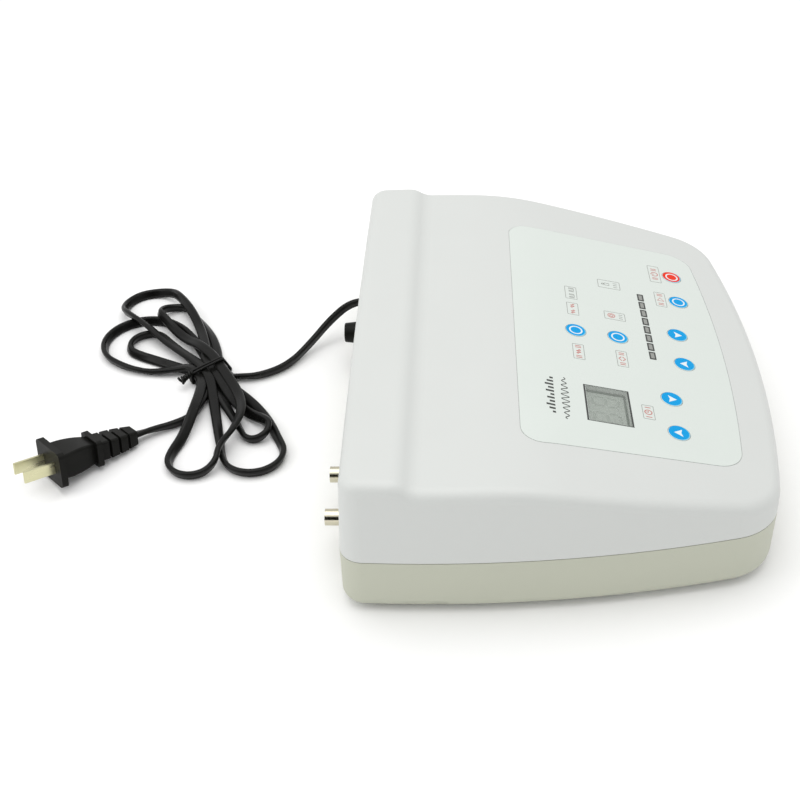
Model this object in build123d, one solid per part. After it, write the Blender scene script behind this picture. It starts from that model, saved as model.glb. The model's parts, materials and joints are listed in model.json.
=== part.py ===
"""Desktop ultrasound therapy device: a two-part casing with a sloping keypad, mains cord and probe sockets.

Units are millimetres. +X is the user's right, +Y the rear, +Z up. The origin is under the middle of the
device, on the surface that it stands on.
"""
import math
import os

from build123d import *

# ---------------------------------------------------------------- driving dimensions
REAR_Y = 101.5            # rear wall, at the middle
FRONT_Y = -113.3          # front edge, at the middle
REAR_HALF_WIDTH = 140.0
FRONT_HALF_WIDTH = 118.9
MID_HALF_WIDTH = 137.7    # the sides bow out between the rear and the front
REAR_BOW = 0.9            # how far the rear edge's ends stand in from its middle
FRONT_BOW = 12.3
REAR_CORNER_R = 11.2
FRONT_CORNER_R = 29.0
WALL = 2.5

FOOT_H = 2.5              # what shows of a foot below the base
SEAM_Z = 32.0             # between the base and the top shell
SEAM_GAP = 0.4
RIM_Z = 28.0              # where the base's wall thickens into its tongue
BASE_EDGE_R = 6.0
TOP_EDGE_R = 6.0
TOP_DRAFT_DEG = 2.6

RIDGE_Z = 76.2            # flat ridge along the rear
FLAT_Z = 72.0             # flat strip in front of the ridge
RIDGE_END_Y = 76.0        # where the ridge starts to fall to the flat strip
STEP_R = 12.0             # radius of both arcs of that fall
SLOPE_START_Y = 17.0      # where the flat strip, carried on, meets the slope
SLOPE = math.atan(0.2177)
SLOPE_BLEND_R = 190.0

PANEL_HALF_WIDTH = 100.0  # keypad film
PANEL_REAR_Y = 17.0
PANEL_CORNER_Y = -87.0
PANEL_FRONT_Y = -93.2
FILM_T = 0.35
FILM_PROUD = 0.1

BOARD_W = -11.0           # top of the display board, measured from the slope's surface
BOARD_T = 1.6
KEY_R = 5.5
KEY_TRAVEL = 0.35
SWITCH_H = 3.6            # with its button
KEY_GAP = 0.2
KEYS = {                  # each key's centre, in plan
    "power": (69.8, -75.5),
    "start": (43.7, -75.8),
    "output_down": (9.9, -70.5),
    "output_up": (-16.6, -70.6),
    "time_down": (-49.3, -59.4),
    "time_up": (-75.9, -59.4),
    "mode": (-2.4, -15.1),
    "select": (-2.1, -37.3),
}
WINDOW = (-77.1, -49.6, -36.8, -16.3)     # display window: x from, x to, y from, y to
BAR_Y = -54.3                             # row of bar-graph lamps
BAR_X = [41.6 - 7.9 * i for i in range(8)]
LAMPS = [(34.0, -15.1), (18.1, -15.0), (49.6, -37.4), (18.1, -37.7)]   # icon lamps

SOCKET_X = (-99.0, -67.5)
SOCKET_Z = 22.0
SOCKET_R = 4.13           # outside of the barrel that a probe's plug slides over
SOCKET_THREAD_R = 3.9     # its tail through the wall
SOCKET_OUT = 9.7
SOCKET_SHOULDER = 0.3     # thin shoulder against the wall
FUSE_X = 60.0
FUSE_HOLE_R = 6.2
CORD_X = 94.0
CORD_Z = 21.5
CORD_D = 6.0
RELIEF_OUT = 5.0

BOARD_Z = 13.0            # underside of the main board
BOARD_TOP = BOARD_Z + BOARD_T
CASE_SCREWS = [(-118.0, 80.0), (118.0, 80.0), (-100.0, -82.0), (100.0, -82.0)]
FEET = [(-105.0, 66.0), (105.0, 66.0), (-82.0, -73.0), (82.0, -73.0)]

os.makedirs("parts", exist_ok=True)
MADE = {}


def keep(name, shape):
    """Writes one node. The shape may be one solid or a list of separate solids."""
    solids = shape.solids() if hasattr(shape, "solids") else [s for item in shape for s in item.solids()]
    node = solids[0] if len(solids) == 1 else Compound(children=list(solids))
    export_step(node, f"parts/{name}.step")
    MADE[name] = node
    return node


def box(x0, x1, y0, y1, z0, z1):
    """A block between two corners."""
    centre = Pos((x0 + x1) / 2, (y0 + y1) / 2, (z0 + z1) / 2)
    return centre * Box(x1 - x0, y1 - y0, z1 - z0)


def rod(x, y, z0, z1, r):
    """An upright cylinder."""
    return Pos(x, y, (z0 + z1) / 2) * Cylinder(r, z1 - z0)


def rod_y(x, z, y0, y1, r):
    """A cylinder along Y."""
    return Pos(x, (y0 + y1) / 2, z) * Rot(90, 0, 0) * Cylinder(r, abs(y1 - y0))


def cone_y(x, z, y0, y1, r0, r1):
    """A cone along Y, of radius r0 at y0 and r1 at y1."""
    profile = Plane.XY * Polyline((0, y0), (r0, y0), (r1, y1), (0, y1), close=True)
    return Pos(x, 0, z) * revolve(make_face(profile), Axis.Y)


def facing_up(sketch):
    """The sketch's face with its normal along +Z, so that it extrudes upwards."""
    face = sketch.faces()[0]
    return face if face.normal_at().Z > 0 else -face


# ---------------------------------------------------------------- outline and top profile
def circle_through(a, b, c):
    """Centre and radius of the circle through three points."""
    ax, ay = a[0] - c[0], a[1] - c[1]
    bx, by = b[0] - c[0], b[1] - c[1]
    d = 2 * (ax * by - ay * bx)
    aa, bb = ax * ax + ay * ay, bx * bx + by * by
    centre = (c[0] + (by * aa - ay * bb) / d, c[1] + (ax * bb - bx * aa) / d)
    return centre, math.dist(centre, a)


def crossing(first, second, near):
    """The point, of the two where circles cross, that is nearer to a given point."""
    (x0, y0), r0 = first
    (x1, y1), r1 = second
    gap = math.dist((x0, y0), (x1, y1))
    along = (r0 * r0 - r1 * r1 + gap * gap) / (2 * gap)
    across = math.sqrt(r0 * r0 - along * along)
    ux, uy = (x1 - x0) / gap, (y1 - y0) / gap
    foot = (x0 + along * ux, y0 + along * uy)
    options = [(foot[0] - side * across * uy, foot[1] + side * across * ux) for side in (-1, 1)]
    return min(options, key=lambda p: math.dist(p, near))


def outline(inset=0.0):
    """Plan outline of the casing as a face: four arcs and rounded corners, moved inwards by inset."""
    rear_corner = (REAR_HALF_WIDTH, REAR_Y - REAR_BOW)
    front_corner = (FRONT_HALF_WIDTH, FRONT_Y + FRONT_BOW)
    mid = (MID_HALF_WIDTH, (rear_corner[1] + front_corner[1]) / 2)

    def flip(p):
        return (-p[0], p[1])

    def inner(circle):
        return circle[0], circle[1] - inset

    rear = inner(circle_through(rear_corner, (0, REAR_Y), flip(rear_corner)))
    side = inner(circle_through(rear_corner, mid, front_corner))
    front = inner(circle_through(front_corner, (0, FRONT_Y), flip(front_corner)))
    rear_corner = crossing(rear, side, rear_corner)
    front_corner = crossing(front, side, front_corner)
    away = math.dist(mid, side[0])
    mid = tuple(side[0][i] + (mid[i] - side[0][i]) * side[1] / away for i in (0, 1))
    edges = [
        ThreePointArc(rear_corner, (0, REAR_Y - inset), flip(rear_corner)),
        ThreePointArc(flip(rear_corner), flip(mid), flip(front_corner)),
        ThreePointArc(flip(front_corner), (0, FRONT_Y + inset), front_corner),
        ThreePointArc(front_corner, mid, rear_corner),
    ]
    face = make_face(edges)
    rear_points = [v for v in face.vertices() if v.Y > 0]
    face = fillet(rear_points, REAR_CORNER_R - inset)
    front_points = [v for v in face.vertices() if v.Y < FRONT_Y + FRONT_BOW + inset + 1]
    return fillet(front_points, FRONT_CORNER_R - inset)


def top_line(drop=0.0):
    """The top surface in the YZ plane, from rear to front, lowered by drop: straight runs and arcs."""
    fall = RIDGE_Z - FLAT_Z
    span = math.sqrt(4 * STEP_R * fall - fall * fall)
    step_mid = (RIDGE_END_Y - span / 2, (RIDGE_Z + FLAT_Z) / 2)
    step_end_y = RIDGE_END_Y - span
    half = math.asin((span / 2) / STEP_R) / 2
    blend = SLOPE_BLEND_R * math.tan(SLOPE / 2)
    blend_end = (SLOPE_START_Y - blend * math.cos(SLOPE), FLAT_Z - blend * math.sin(SLOPE))
    blend_mid = (
        SLOPE_START_Y + blend - SLOPE_BLEND_R * math.sin(SLOPE / 2),
        FLAT_Z - SLOPE_BLEND_R * (1 - math.cos(SLOPE / 2)),
    )
    upper_mid = (RIDGE_END_Y - STEP_R * math.sin(half), RIDGE_Z - STEP_R * (1 - math.cos(half)))
    lower_mid = (step_end_y + STEP_R * math.sin(half), FLAT_Z + STEP_R * (1 - math.cos(half)))
    rear = (REAR_Y + 20, RIDGE_Z)
    ridge_end = (RIDGE_END_Y, RIDGE_Z)
    flat_start = (step_end_y, FLAT_Z)
    flat_end = (SLOPE_START_Y + blend, FLAT_Z)
    front_y = FRONT_Y - 20
    front = (front_y, FLAT_Z - (SLOPE_START_Y - front_y) * math.tan(SLOPE))
    pieces = [
        (Line, rear, ridge_end),
        (ThreePointArc, ridge_end, upper_mid, step_mid),
        (ThreePointArc, step_mid, lower_mid, flat_start),
        (Line, flat_start, flat_end),
        (ThreePointArc, flat_end, blend_mid, blend_end),
        (Line, blend_end, front),
    ]
    lowered = [(kind, *[(y, z - drop) for y, z in points]) for kind, *points in pieces]
    return lowered, (rear[0], rear[1] - drop), (front[0], front[1] - drop)


def under_top(drop=0.0, bottom=-10.0):
    """Everything below the top surface, lowered by drop."""
    pieces, rear, front = top_line(drop)
    edges = [kind(*points) for kind, *points in pieces]
    edges += [Line(front, (front[0], bottom)), Line((front[0], bottom), (rear[0], bottom))]
    edges += [Line((rear[0], bottom), rear)]
    face = Plane.YZ * make_face(edges)
    return extrude(face, amount=200, both=True)


def surface_z(y):
    """Height of the slope at y, in front of the blend."""
    return FLAT_Z - (SLOPE_START_Y - y) * math.tan(SLOPE)


PANEL_REF_Y = -45.0
PANEL = Plane(
    origin=(0, PANEL_REF_Y, surface_z(PANEL_REF_Y)),
    x_dir=(1, 0, 0),
    z_dir=(0, -math.sin(SLOPE), math.cos(SLOPE)),
)


def on_panel(x, y, w):
    """The place on the slope above plan point (x, y), w from the surface."""
    return PANEL.location * Pos(x, (y - PANEL_REF_Y) / math.cos(SLOPE), w)


def panel_rod(x, y, w0, w1, r):
    """A cylinder square to the slope."""
    return on_panel(x, y, (w0 + w1) / 2) * Cylinder(r, w1 - w0)


def panel_box(x, y, w0, w1, dx, dy):
    """A block square to the slope, dx by dy, centred on plan point (x, y)."""
    return on_panel(x, y, (w0 + w1) / 2) * Box(dx, dy, w1 - w0)


def panel_prism(grow=0.0):
    """The keypad film's outline, as an upright prism."""
    half = PANEL_HALF_WIDTH + grow
    corner_x = 95.0 + grow
    rear_y = PANEL_REAR_Y + grow
    corner_y = PANEL_CORNER_Y - grow
    edges = [
        Line((-half, rear_y), (half, rear_y)),
        Line((half, rear_y), (corner_x, corner_y)),
        ThreePointArc((corner_x, corner_y), (0, PANEL_FRONT_Y - grow), (-corner_x, corner_y)),
        Line((-corner_x, corner_y), (-half, rear_y)),
    ]
    face = make_face(edges)
    rear = [v for v in face.vertices() if v.Y > 0]
    face = fillet(rear, 10 + grow)
    front = [v for v in face.vertices() if v.Y < -80]
    face = fillet(front, 14 + grow)
    return extrude(facing_up(face), amount=100)


def window_box(w0, w1, grow=0.0):
    """A block of the display window's size, from w0 to w1 from the slope's surface."""
    x0, x1, y0, y1 = WINDOW
    length = (y1 - y0) / math.cos(SLOPE)
    return panel_box((x0 + x1) / 2, (y0 + y1) / 2, w0, w1, x1 - x0 + 2 * grow, length + 2 * grow)


DISPLAY_SCREWS = [(-84.0, -8.0), (76.0, -8.0), (-60.0, -76.0), (56.0, -60.0)]


# ---------------------------------------------------------------- casing
def top_shell():
    """White top shell: drafted walls, rounded top edge, boss under each screw, openings for the keypad."""
    low = SEAM_Z + SEAM_GAP
    tall = extrude(Pos(0, 0, low) * outline(), amount=60, taper=TOP_DRAFT_DEG)
    outer = tall & under_top()
    outer = fillet(rim_edges(outer), TOP_EDGE_R)
    inner = extrude(Pos(0, 0, low - 1) * outline(WALL), amount=60, taper=TOP_DRAFT_DEG)
    shell = outer - (inner & under_top(WALL))
    solid_top = outer & under_top(0.5)
    for x, y in CASE_SCREWS:
        boss = rod(x, y, 26.5, 90, 4.5) & (solid_top + rod(x, y, 26.5, low + 2, 4.5))
        shell = shell + boss
        shell = shell - rod(x, y, 20, 42, 1.35)
    for x, y in DISPLAY_SCREWS:
        boss = panel_rod(x, y, BOARD_W + 0.05, -1.0, 3.2)
        shell = shell + boss - panel_rod(x, y, BOARD_W - 1, -3.5, 1.1)
    recess = panel_prism(0.25) - under_top(FILM_T)
    shell = shell - recess
    for x, y in KEYS.values():
        shell = shell - panel_rod(x, y, -6, 3, KEY_R + 0.5)
    for x in BAR_X:
        shell = shell - panel_box(x, BAR_Y, -6, 3, 7.2, 3.9)
    for x, y in LAMPS:
        shell = shell - panel_rod(x, y, -6, 3, 1.8)
    shell = shell - window_box(-8, 3)
    return shell


def rim_edges(body):
    """The edges round the top: neither upright nor across it, between two strips of its profile."""
    high = [e for e in body.edges() if e.center().Z > SEAM_Z + 6]
    around = [e for e in high if not (e.geom_type == GeomType.LINE and abs((e @ 1 - e @ 0).X) > 150)]
    return [e for e in around if abs((e @ 1 - e @ 0).Z) < 0.9 * e.length]


def base_shell():
    """Beige base tray with screw posts, board posts and rear openings."""
    outer = extrude(Pos(0, 0, FOOT_H) * outline(), amount=SEAM_Z - FOOT_H)
    bottom = outer.faces().sort_by(Axis.Z)[0]
    outer = fillet(bottom.edges(), BASE_EDGE_R)
    tongue_in = WALL + 0.3
    outer = outer + extrude(Pos(0, 0, SEAM_Z - 2) * outline(tongue_in), amount=4)
    tray = outer - extrude(Pos(0, 0, FOOT_H + WALL) * outline(WALL), amount=RIM_Z - FOOT_H - WALL)
    tray = tray - extrude(Pos(0, 0, RIM_Z - 0.01) * outline(tongue_in + 1.2), amount=20)
    tray = tray - box(FUSE_X - 12, FUSE_X + 12, REAR_Y - 8, REAR_Y - WALL - 0.3, RIM_Z - 1, 40)
    for x, y in CASE_SCREWS:
        tray = tray + rod(x, y, FOOT_H + 0.5, 26, 5.0)
        tray = tray - rod(x, y, 0, 10.5, 3.6) - rod(x, y, 0, 30, 1.8)
    for x, y in FEET:
        tray = tray - rod(x, y, 0, FOOT_H + 1.0, 7.2)
    for x, y in BOARD_POSTS:
        tray = tray + rod(x, y, FOOT_H + 0.5, BOARD_Z, 3.5) - rod(x, y, FOOT_H + 3, BOARD_Z + 1, 1.2)
    for x, y in TRANSFORMER_SCREWS:
        tray = tray + rod(x, y, FOOT_H + 0.5, 7.5, 4.0) - rod(x, y, FOOT_H + 1.5, 8, 1.4)
    for x in SOCKET_X:
        tray = tray - rod_y(x, SOCKET_Z, REAR_Y - 8, REAR_Y + 5, SOCKET_THREAD_R)
    tray = tray - rod_y(FUSE_X, SOCKET_Z, REAR_Y - 8, REAR_Y + 5, FUSE_HOLE_R)
    tray = tray - rod_y(CORD_X, CORD_Z, REAR_Y - 8, REAR_Y + 5, 5.0)
    return tray


BOARD_POSTS = [(-100.0, 40.0), (30.0, 40.0), (-90.0, -60.0), (30.0, -60.0)]
TRANSFORMER_X = 82.0
TRANSFORMER_Y = 18.0
TRANSFORMER_SCREWS = [(TRANSFORMER_X - 39, TRANSFORMER_Y), (TRANSFORMER_X + 39, TRANSFORMER_Y)]


def case_screws():
    """Four self-tapping screws up through the base posts."""
    screws = []
    for x, y in CASE_SCREWS:
        screw = rod(x, y, 8.0, 10.5, 3.1) + rod(x, y, 10.5, 38, 1.5)
        slot = box(x - 2, x + 2, y - 0.4, y + 0.4, 7.9, 8.9) + box(x - 0.4, x + 0.4, y - 2, y + 2, 7.9, 8.9)
        screws.append(screw - slot)
    return screws


def rubber_feet():
    """Four round feet pressed into recesses of the base."""
    feet = []
    for x, y in FEET:
        foot = rod(x, y, 0, FOOT_H + 1.0, 7.0)
        low = foot.edges().group_by(Axis.Z)[0]
        feet.append(chamfer(low, 0.8))
    return feet


def film():
    """Keypad film, with an opening for each key and for the display window."""
    band = under_top(-FILM_PROUD) - under_top(FILM_T)
    sheet = panel_prism() & band
    for x, y in KEYS.values():
        sheet = sheet - panel_rod(x, y, -3, 3, KEY_R + KEY_GAP)
    return sheet - window_box(-3, 3)


def display_window():
    """Clear pane in the film, over the digits."""
    return window_box(-FILM_T, FILM_PROUD - 0.05, -0.05)


# ---------------------------------------------------------------- keys
def key(x, y):
    """One key: a thin disc with an eased rim, level with the film, and a stem that reaches its switch."""
    disc = panel_rod(x, y, -FILM_T, FILM_PROUD + 0.15, KEY_R)
    rim = disc.edges().filter_by(GeomType.CIRCLE).sort_by(Axis.Z)[-1]
    disc = chamfer(rim, 0.15)
    return disc + panel_rod(x, y, -1.4, -FILM_T, 4.2) + panel_rod(x, y, BOARD_W + SWITCH_H + KEY_TRAVEL + 0.05, -1.4, 1.9)


def tact_switches():
    """One square switch with a low round button for each key."""
    made = []
    for x, y in KEYS.values():
        body = panel_box(x, y, BOARD_W, BOARD_W + 3.0, 6, 6)
        made.append(body + panel_rod(x, y, BOARD_W + 3.0, BOARD_W + SWITCH_H, 1.7))
    return made


# ---------------------------------------------------------------- display board
def display_board():
    """Board parallel to the slope, held to the top shell by four screws."""
    board = panel_box(-4.0, -43.0, BOARD_W - BOARD_T, BOARD_W, 174, 80)
    for x, y in DISPLAY_SCREWS:
        board = board - panel_rod(x, y, BOARD_W - 3, BOARD_W + 1, 1.4)
    return board


def display_board_screws():
    """Four small screws up into the bosses of the top shell."""
    made = []
    under = BOARD_W - BOARD_T
    for x, y in DISPLAY_SCREWS:
        made.append(panel_rod(x, y, under - 1.6, under, 2.4) + panel_rod(x, y, under, under + 8.0, 1.2))
    return made


DIGIT_W = -3.0            # face of the digit module


def digit_module():
    """Two-digit lamp module, with a groove for each segment."""
    x0, x1, y0, y1 = WINDOW
    x, y = (x0 + x1) / 2, (y0 + y1) / 2
    body = panel_box(x, y, BOARD_W, DIGIT_W, 25.0, 19.0)
    for solid in digit_bars(DIGIT_W - 0.6, DIGIT_W + 1, 0.0):
        body = body - solid
    return body


def digit_bars(w0, w1, shrink):
    """Seven bars for each of two digits, read from the front of the device."""
    x0, x1, y0, y1 = WINDOW
    cx, cy = (x0 + x1) / 2, (y0 + y1) / 2
    half_w, half_h, thick = 3.4, 6.4, 1.5
    bars = []
    for digit_x in (cx - 6.2, cx + 6.2):
        for level in (-1, 0, 1):
            bars.append((digit_x, cy + level * half_h, 2 * half_w - thick - 0.4, thick))
        for side in (-1, 1):
            for level in (-0.5, 0.5):
                bars.append((digit_x + side * half_w, cy + level * half_h, thick, half_h - thick - 0.4))
    return [panel_box(x, y, w0, w1, dx - shrink, dy - shrink) for x, y, dx, dy in bars]


def bargraph_lamps():
    """Eight rectangular lamps under the bar graph."""
    return [panel_box(x, BAR_Y, BOARD_W, -1.0, 6.8, 3.5) for x in BAR_X]


def icon_lamps():
    """Four round lamps under the icons."""
    made = []
    for x, y in LAMPS:
        lamp = panel_rod(x, y, BOARD_W, BOARD_W + 1.2, 1.9) + panel_rod(x, y, BOARD_W + 1.2, -2.0, 1.5)
        made.append(lamp)
    return made


RIBBON_WIDTH = 22.0
HEADER_Y = -30.0


def display_header():
    """Ribbon connector under the display board."""
    return panel_box(-29.0, HEADER_Y, BOARD_W - BOARD_T - 6.0, BOARD_W - BOARD_T, 26, 6)


def ribbon_cable():
    """Flat cable from the display board down to the main board, with easy bends."""
    top = on_panel(-29.0, HEADER_Y, BOARD_W - BOARD_T - 6.0).position
    points = [
        (-29.0, top.Y, top.Z),
        (-29.0, top.Y + 2.0, top.Z - 9.0),
        (-29.0, -10.0, BOARD_TOP + 20.0),
        (-29.0, -10.0, BOARD_TOP + 7.0),
    ]
    path = FilletPolyline(*points, radius=3.5)
    start = Plane(origin=path @ 0, x_dir=(1, 0, 0), z_dir=path % 0)
    return sweep(start * Rectangle(RIBBON_WIDTH, 0.9), path=path)


# ---------------------------------------------------------------- main board
def main_board():
    """Main board on four posts of the base."""
    board = box(-106, 36, -66, 46, BOARD_Z, BOARD_TOP)
    for x, y in BOARD_POSTS:
        board = board - rod(x, y, BOARD_Z - 1, BOARD_TOP + 1, 1.6)
    return board


def main_board_screws():
    """Four pan-head screws through the main board."""
    return [rod(x, y, BOARD_TOP, BOARD_TOP + 2, 2.8) + rod(x, y, 7, BOARD_TOP, 1.3) for x, y in BOARD_POSTS]


def main_header():
    """Ribbon connector on the main board."""
    return box(-42, -16, -13, -7, BOARD_TOP, BOARD_TOP + 7.0)


def heatsink():
    """Finned aluminium heatsink behind the drive transistors."""
    sink = box(-84, -24, 26, 29, BOARD_TOP, BOARD_TOP + 32)
    for i in range(8):
        x = -83 + 8.1 * i
        sink = sink + box(x, x + 1.6, 29, 40, BOARD_TOP, BOARD_TOP + 32)
    return sink


TRANSISTOR_X = (-70.0, -40.0)


def drive_transistors():
    """Two power transistors against the heatsink."""
    made = []
    for x in TRANSISTOR_X:
        tab = box(x - 5, x + 5, 24.7, 26, BOARD_TOP + 6, BOARD_TOP + 22)
        case = box(x - 5, x + 5, 21.6, 24.7, BOARD_TOP + 6, BOARD_TOP + 15)
        part = tab + case
        for leg in (-2.54, 0, 2.54):
            part = part + box(x + leg - 0.4, x + leg + 0.4, 23.0, 23.8, BOARD_TOP, BOARD_TOP + 6.2)
        made.append(part - rod_y(x, BOARD_TOP + 18.5, 24, 27, 1.8))
    return made


def transistor_screws():
    """The screw that clamps each transistor to the heatsink."""
    return [rod_y(x, BOARD_TOP + 18.5, 22.6, 24.7, 2.6) + rod_y(x, BOARD_TOP + 18.5, 24.7, 28.5, 1.4)
            for x in TRANSISTOR_X]


def drive_transformer():
    """Ferrite output transformer that drives the probes."""
    core = box(-98, -72, -12, 12, BOARD_TOP + 2, BOARD_TOP + 24)
    window = box(-95, -88, -20, 20, BOARD_TOP + 5, BOARD_TOP + 21)
    return core - window - window.moved(Location((13, 0, 0)))


def drive_winding():
    """Winding on the middle leg of the ferrite core."""
    coil = box(-94.6, -75.4, -16, 16, BOARD_TOP + 5.4, BOARD_TOP + 20.6)
    coil = coil - box(-88.2, -81.8, -12.2, 12.2, BOARD_TOP + 4, BOARD_TOP + 22)
    pins = box(-94, -92, -15, 15, BOARD_TOP, BOARD_TOP + 1.9) + box(-78, -76, -15, 15, BOARD_TOP, BOARD_TOP + 1.9)
    posts = [box(x, x + 2, y, y + 1.6, BOARD_TOP + 1, BOARD_TOP + 6) for x in (-94, -78) for y in (-14.6, 13.0)]
    coil = coil + pins
    for post in posts:
        coil = coil + post
    return coil


def capacitors():
    """Two large and two small electrolytic capacitors."""
    places = [(8, 24, 8, 25), (8, 4, 8, 25), (-58, -40, 5, 12), (-72, -40, 5, 12)]
    made = []
    for x, y, r, h in places:
        can = rod(x, y, BOARD_TOP, BOARD_TOP + h, r)
        can = fillet(can.edges().group_by(Axis.Z)[-1], 0.8)
        made.append(can)
    return made


def rectifier():
    """Bridge rectifier."""
    return box(16, 32, -20, -14, BOARD_TOP + 1, BOARD_TOP + 15)


def rectifier_legs():
    """Four legs of the bridge rectifier."""
    return [box(x, x + 1, -17.5, -16.5, BOARD_TOP, BOARD_TOP + 1) for x in (17.5, 21.8, 26.1, 30)]


def relay():
    """Power relay."""
    body = box(-6, 13, -44, -29, BOARD_TOP, BOARD_TOP + 15.5)
    return fillet(body.edges().filter_by(Axis.Z), 1.0)


def buzzer():
    """Round sounder with a hole in its top."""
    can = rod(-20, -50, BOARD_TOP, BOARD_TOP + 9, 6)
    return can - rod(-20, -50, BOARD_TOP + 7, BOARD_TOP + 10, 1.0)


def controller_chip():
    """Control chip in its socket."""
    chip = box(-62, -48, -28, 6, BOARD_TOP, BOARD_TOP + 4.5)
    return chip - rod(-55, 6, BOARD_TOP + 4, BOARD_TOP + 5, 1.5)


def terminal_blocks():
    """Terminals for the transformer's output and the probe sockets' leads."""
    return [box(20, 34, -8, 14, BOARD_TOP, BOARD_TOP + 10), box(-104, -90, 18, 34, BOARD_TOP, BOARD_TOP + 10)]


# ---------------------------------------------------------------- mains transformer
CORE_Z = 9.0
CORE = (66.0, 30.0, 50.0)


def transformer_core():
    """Laminated E and I core."""
    x, y = TRANSFORMER_X, TRANSFORMER_Y
    dx, dy, dz = CORE
    core = box(x - dx / 2, x + dx / 2, y - dy / 2, y + dy / 2, CORE_Z, CORE_Z + dz)
    for side in (-1, 1):
        hole = box(x + side * 16.5 - 5.5, x + side * 16.5 + 5.5, y - 30, y + 30, CORE_Z + 9, CORE_Z + dz - 9)
        core = core - hole
    return core


def transformer_winding():
    """Winding on a bobbin round the middle leg."""
    x, y = TRANSFORMER_X, TRANSFORMER_Y
    dy, dz = CORE[1], CORE[2]
    coil = box(x - 21.6, x + 21.6, y - dy / 2 - 10, y + dy / 2 + 10, CORE_Z + 9.4, CORE_Z + dz - 9.4)
    coil = fillet(coil.edges().filter_by(Axis.Z), 2.0)
    return coil - box(x - 11.3, x + 11.3, y - dy / 2 - 0.3, y + dy / 2 + 0.3, CORE_Z, CORE_Z + dz)


def transformer_bracket():
    """Bent steel strap over the core, with a screw ear each side."""
    x, y = TRANSFORMER_X, TRANSFORMER_Y
    dx, dz = CORE[0], CORE[2]
    t = 1.0
    over = box(x - dx / 2 - t, x + dx / 2 + t, y - 6, y + 6, 7.5, CORE_Z + dz + t)
    over = over - box(x - dx / 2, x + dx / 2, y - 30, y + 30, 0, CORE_Z + dz)
    for screw_x, screw_y in TRANSFORMER_SCREWS:
        ear = box(screw_x - 5.5, screw_x + 5.5, y - 6, y + 6, 7.5, 7.5 + t)
        clear = box(x - dx / 2, x + dx / 2, y - 30, y + 30, 0, 30)
        over = over + (ear - clear) - rod(screw_x, screw_y, 6, 9, 1.9)
    return over


def transformer_screws():
    """Two screws that hold the transformer's strap to the base."""
    return [rod(x, y, 8.5, 10.7, 2.9) + rod(x, y, 4.5, 8.5, 1.5) for x, y in TRANSFORMER_SCREWS]


def transformer_pad():
    """Insulating pad between the core and the floor of the base."""
    x, y = TRANSFORMER_X, TRANSFORMER_Y
    dx, dy = CORE[0], CORE[1]
    return box(x - dx / 2 + 2, x + dx / 2 - 2, y - dy / 2, y + dy / 2, FOOT_H + WALL, CORE_Z)


# ---------------------------------------------------------------- rear fittings
def wall_y(x):
    """Rear wall's outer face at x."""
    return REAR_Y - REAR_BOW * (x / REAR_HALF_WIDTH) ** 2


def socket_shells():
    """Plated barrels of the probe sockets, each with a threaded tail through the wall."""
    made = []
    for x in SOCKET_X:
        y = wall_y(x)
        barrel = rod_y(x, SOCKET_Z, y, y + SOCKET_OUT, SOCKET_R)
        shoulder = rod_y(x, SOCKET_Z, y, y + SOCKET_SHOULDER, SOCKET_R + 0.9)
        tail = rod_y(x, SOCKET_Z, y - 9, y, SOCKET_THREAD_R)
        flange = rod_y(x, SOCKET_Z, y - WALL - 1.4, y - WALL, 6.0)
        bore = rod_y(x, SOCKET_Z, y - 12, y + SOCKET_OUT + 1, 3.5)
        made.append(barrel + shoulder + tail + flange - bore)
    return made


def socket_insulators():
    """Insulating core of each probe socket, set back from its rim."""
    made = []
    for x in SOCKET_X:
        y = wall_y(x)
        core = rod_y(x, SOCKET_Z, y - 9, y + SOCKET_OUT - 0.4, 3.5)
        made.append(core - rod_y(x, SOCKET_Z, y - 10, y + SOCKET_OUT + 1, 1.9))
    return made


def socket_contacts():
    """Centre contact sleeve of each probe socket, with a solder tail inside."""
    made = []
    for x in SOCKET_X:
        y = wall_y(x)
        sleeve = rod_y(x, SOCKET_Z, y - 13, y + SOCKET_OUT - 1.0, 1.9)
        made.append(sleeve - rod_y(x, SOCKET_Z, y - 4, y + SOCKET_OUT + 1, 1.6))
    return made


def socket_nuts():
    """Hexagon nut behind the wall on each probe socket."""
    made = []
    for x in SOCKET_X:
        y = wall_y(x)
        face = RegularPolygon(radius=6.4, side_count=6)
        nut = Pos(x, y - WALL - 1.4, SOCKET_Z) * Rot(90, 0, 0) * extrude(face, amount=2.2)
        made.append(nut - rod_y(x, SOCKET_Z, y - 20, y + 2, SOCKET_THREAD_R))
    return made


FUSE_WALL_Y = wall_y(FUSE_X)
FUSE_TUBE_END = FUSE_WALL_Y - 36.0


def fuse_holder_body():
    """Moulded tube through the rear wall with a low collar outside and a closed end inside."""
    tube = rod_y(FUSE_X, SOCKET_Z, FUSE_TUBE_END, FUSE_WALL_Y, FUSE_HOLE_R - 0.05)
    collar = rod_y(FUSE_X, SOCKET_Z, FUSE_WALL_Y, FUSE_WALL_Y + 1.4, 7.4)
    bore = rod_y(FUSE_X, SOCKET_Z, FUSE_TUBE_END + 2.5, FUSE_WALL_Y + 3, 5.2)
    return tube + collar - bore


def fuse_holder_nut():
    """Hexagon nut that clamps the fuse holder behind the wall."""
    face = RegularPolygon(radius=9.5, side_count=6)
    nut = Pos(FUSE_X, FUSE_WALL_Y - WALL - 0.3, SOCKET_Z) * Rot(90, 0, 0) * extrude(face, amount=3.5)
    return nut - rod_y(FUSE_X, SOCKET_Z, FUSE_WALL_Y - 20, FUSE_WALL_Y, FUSE_HOLE_R - 0.05)


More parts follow.
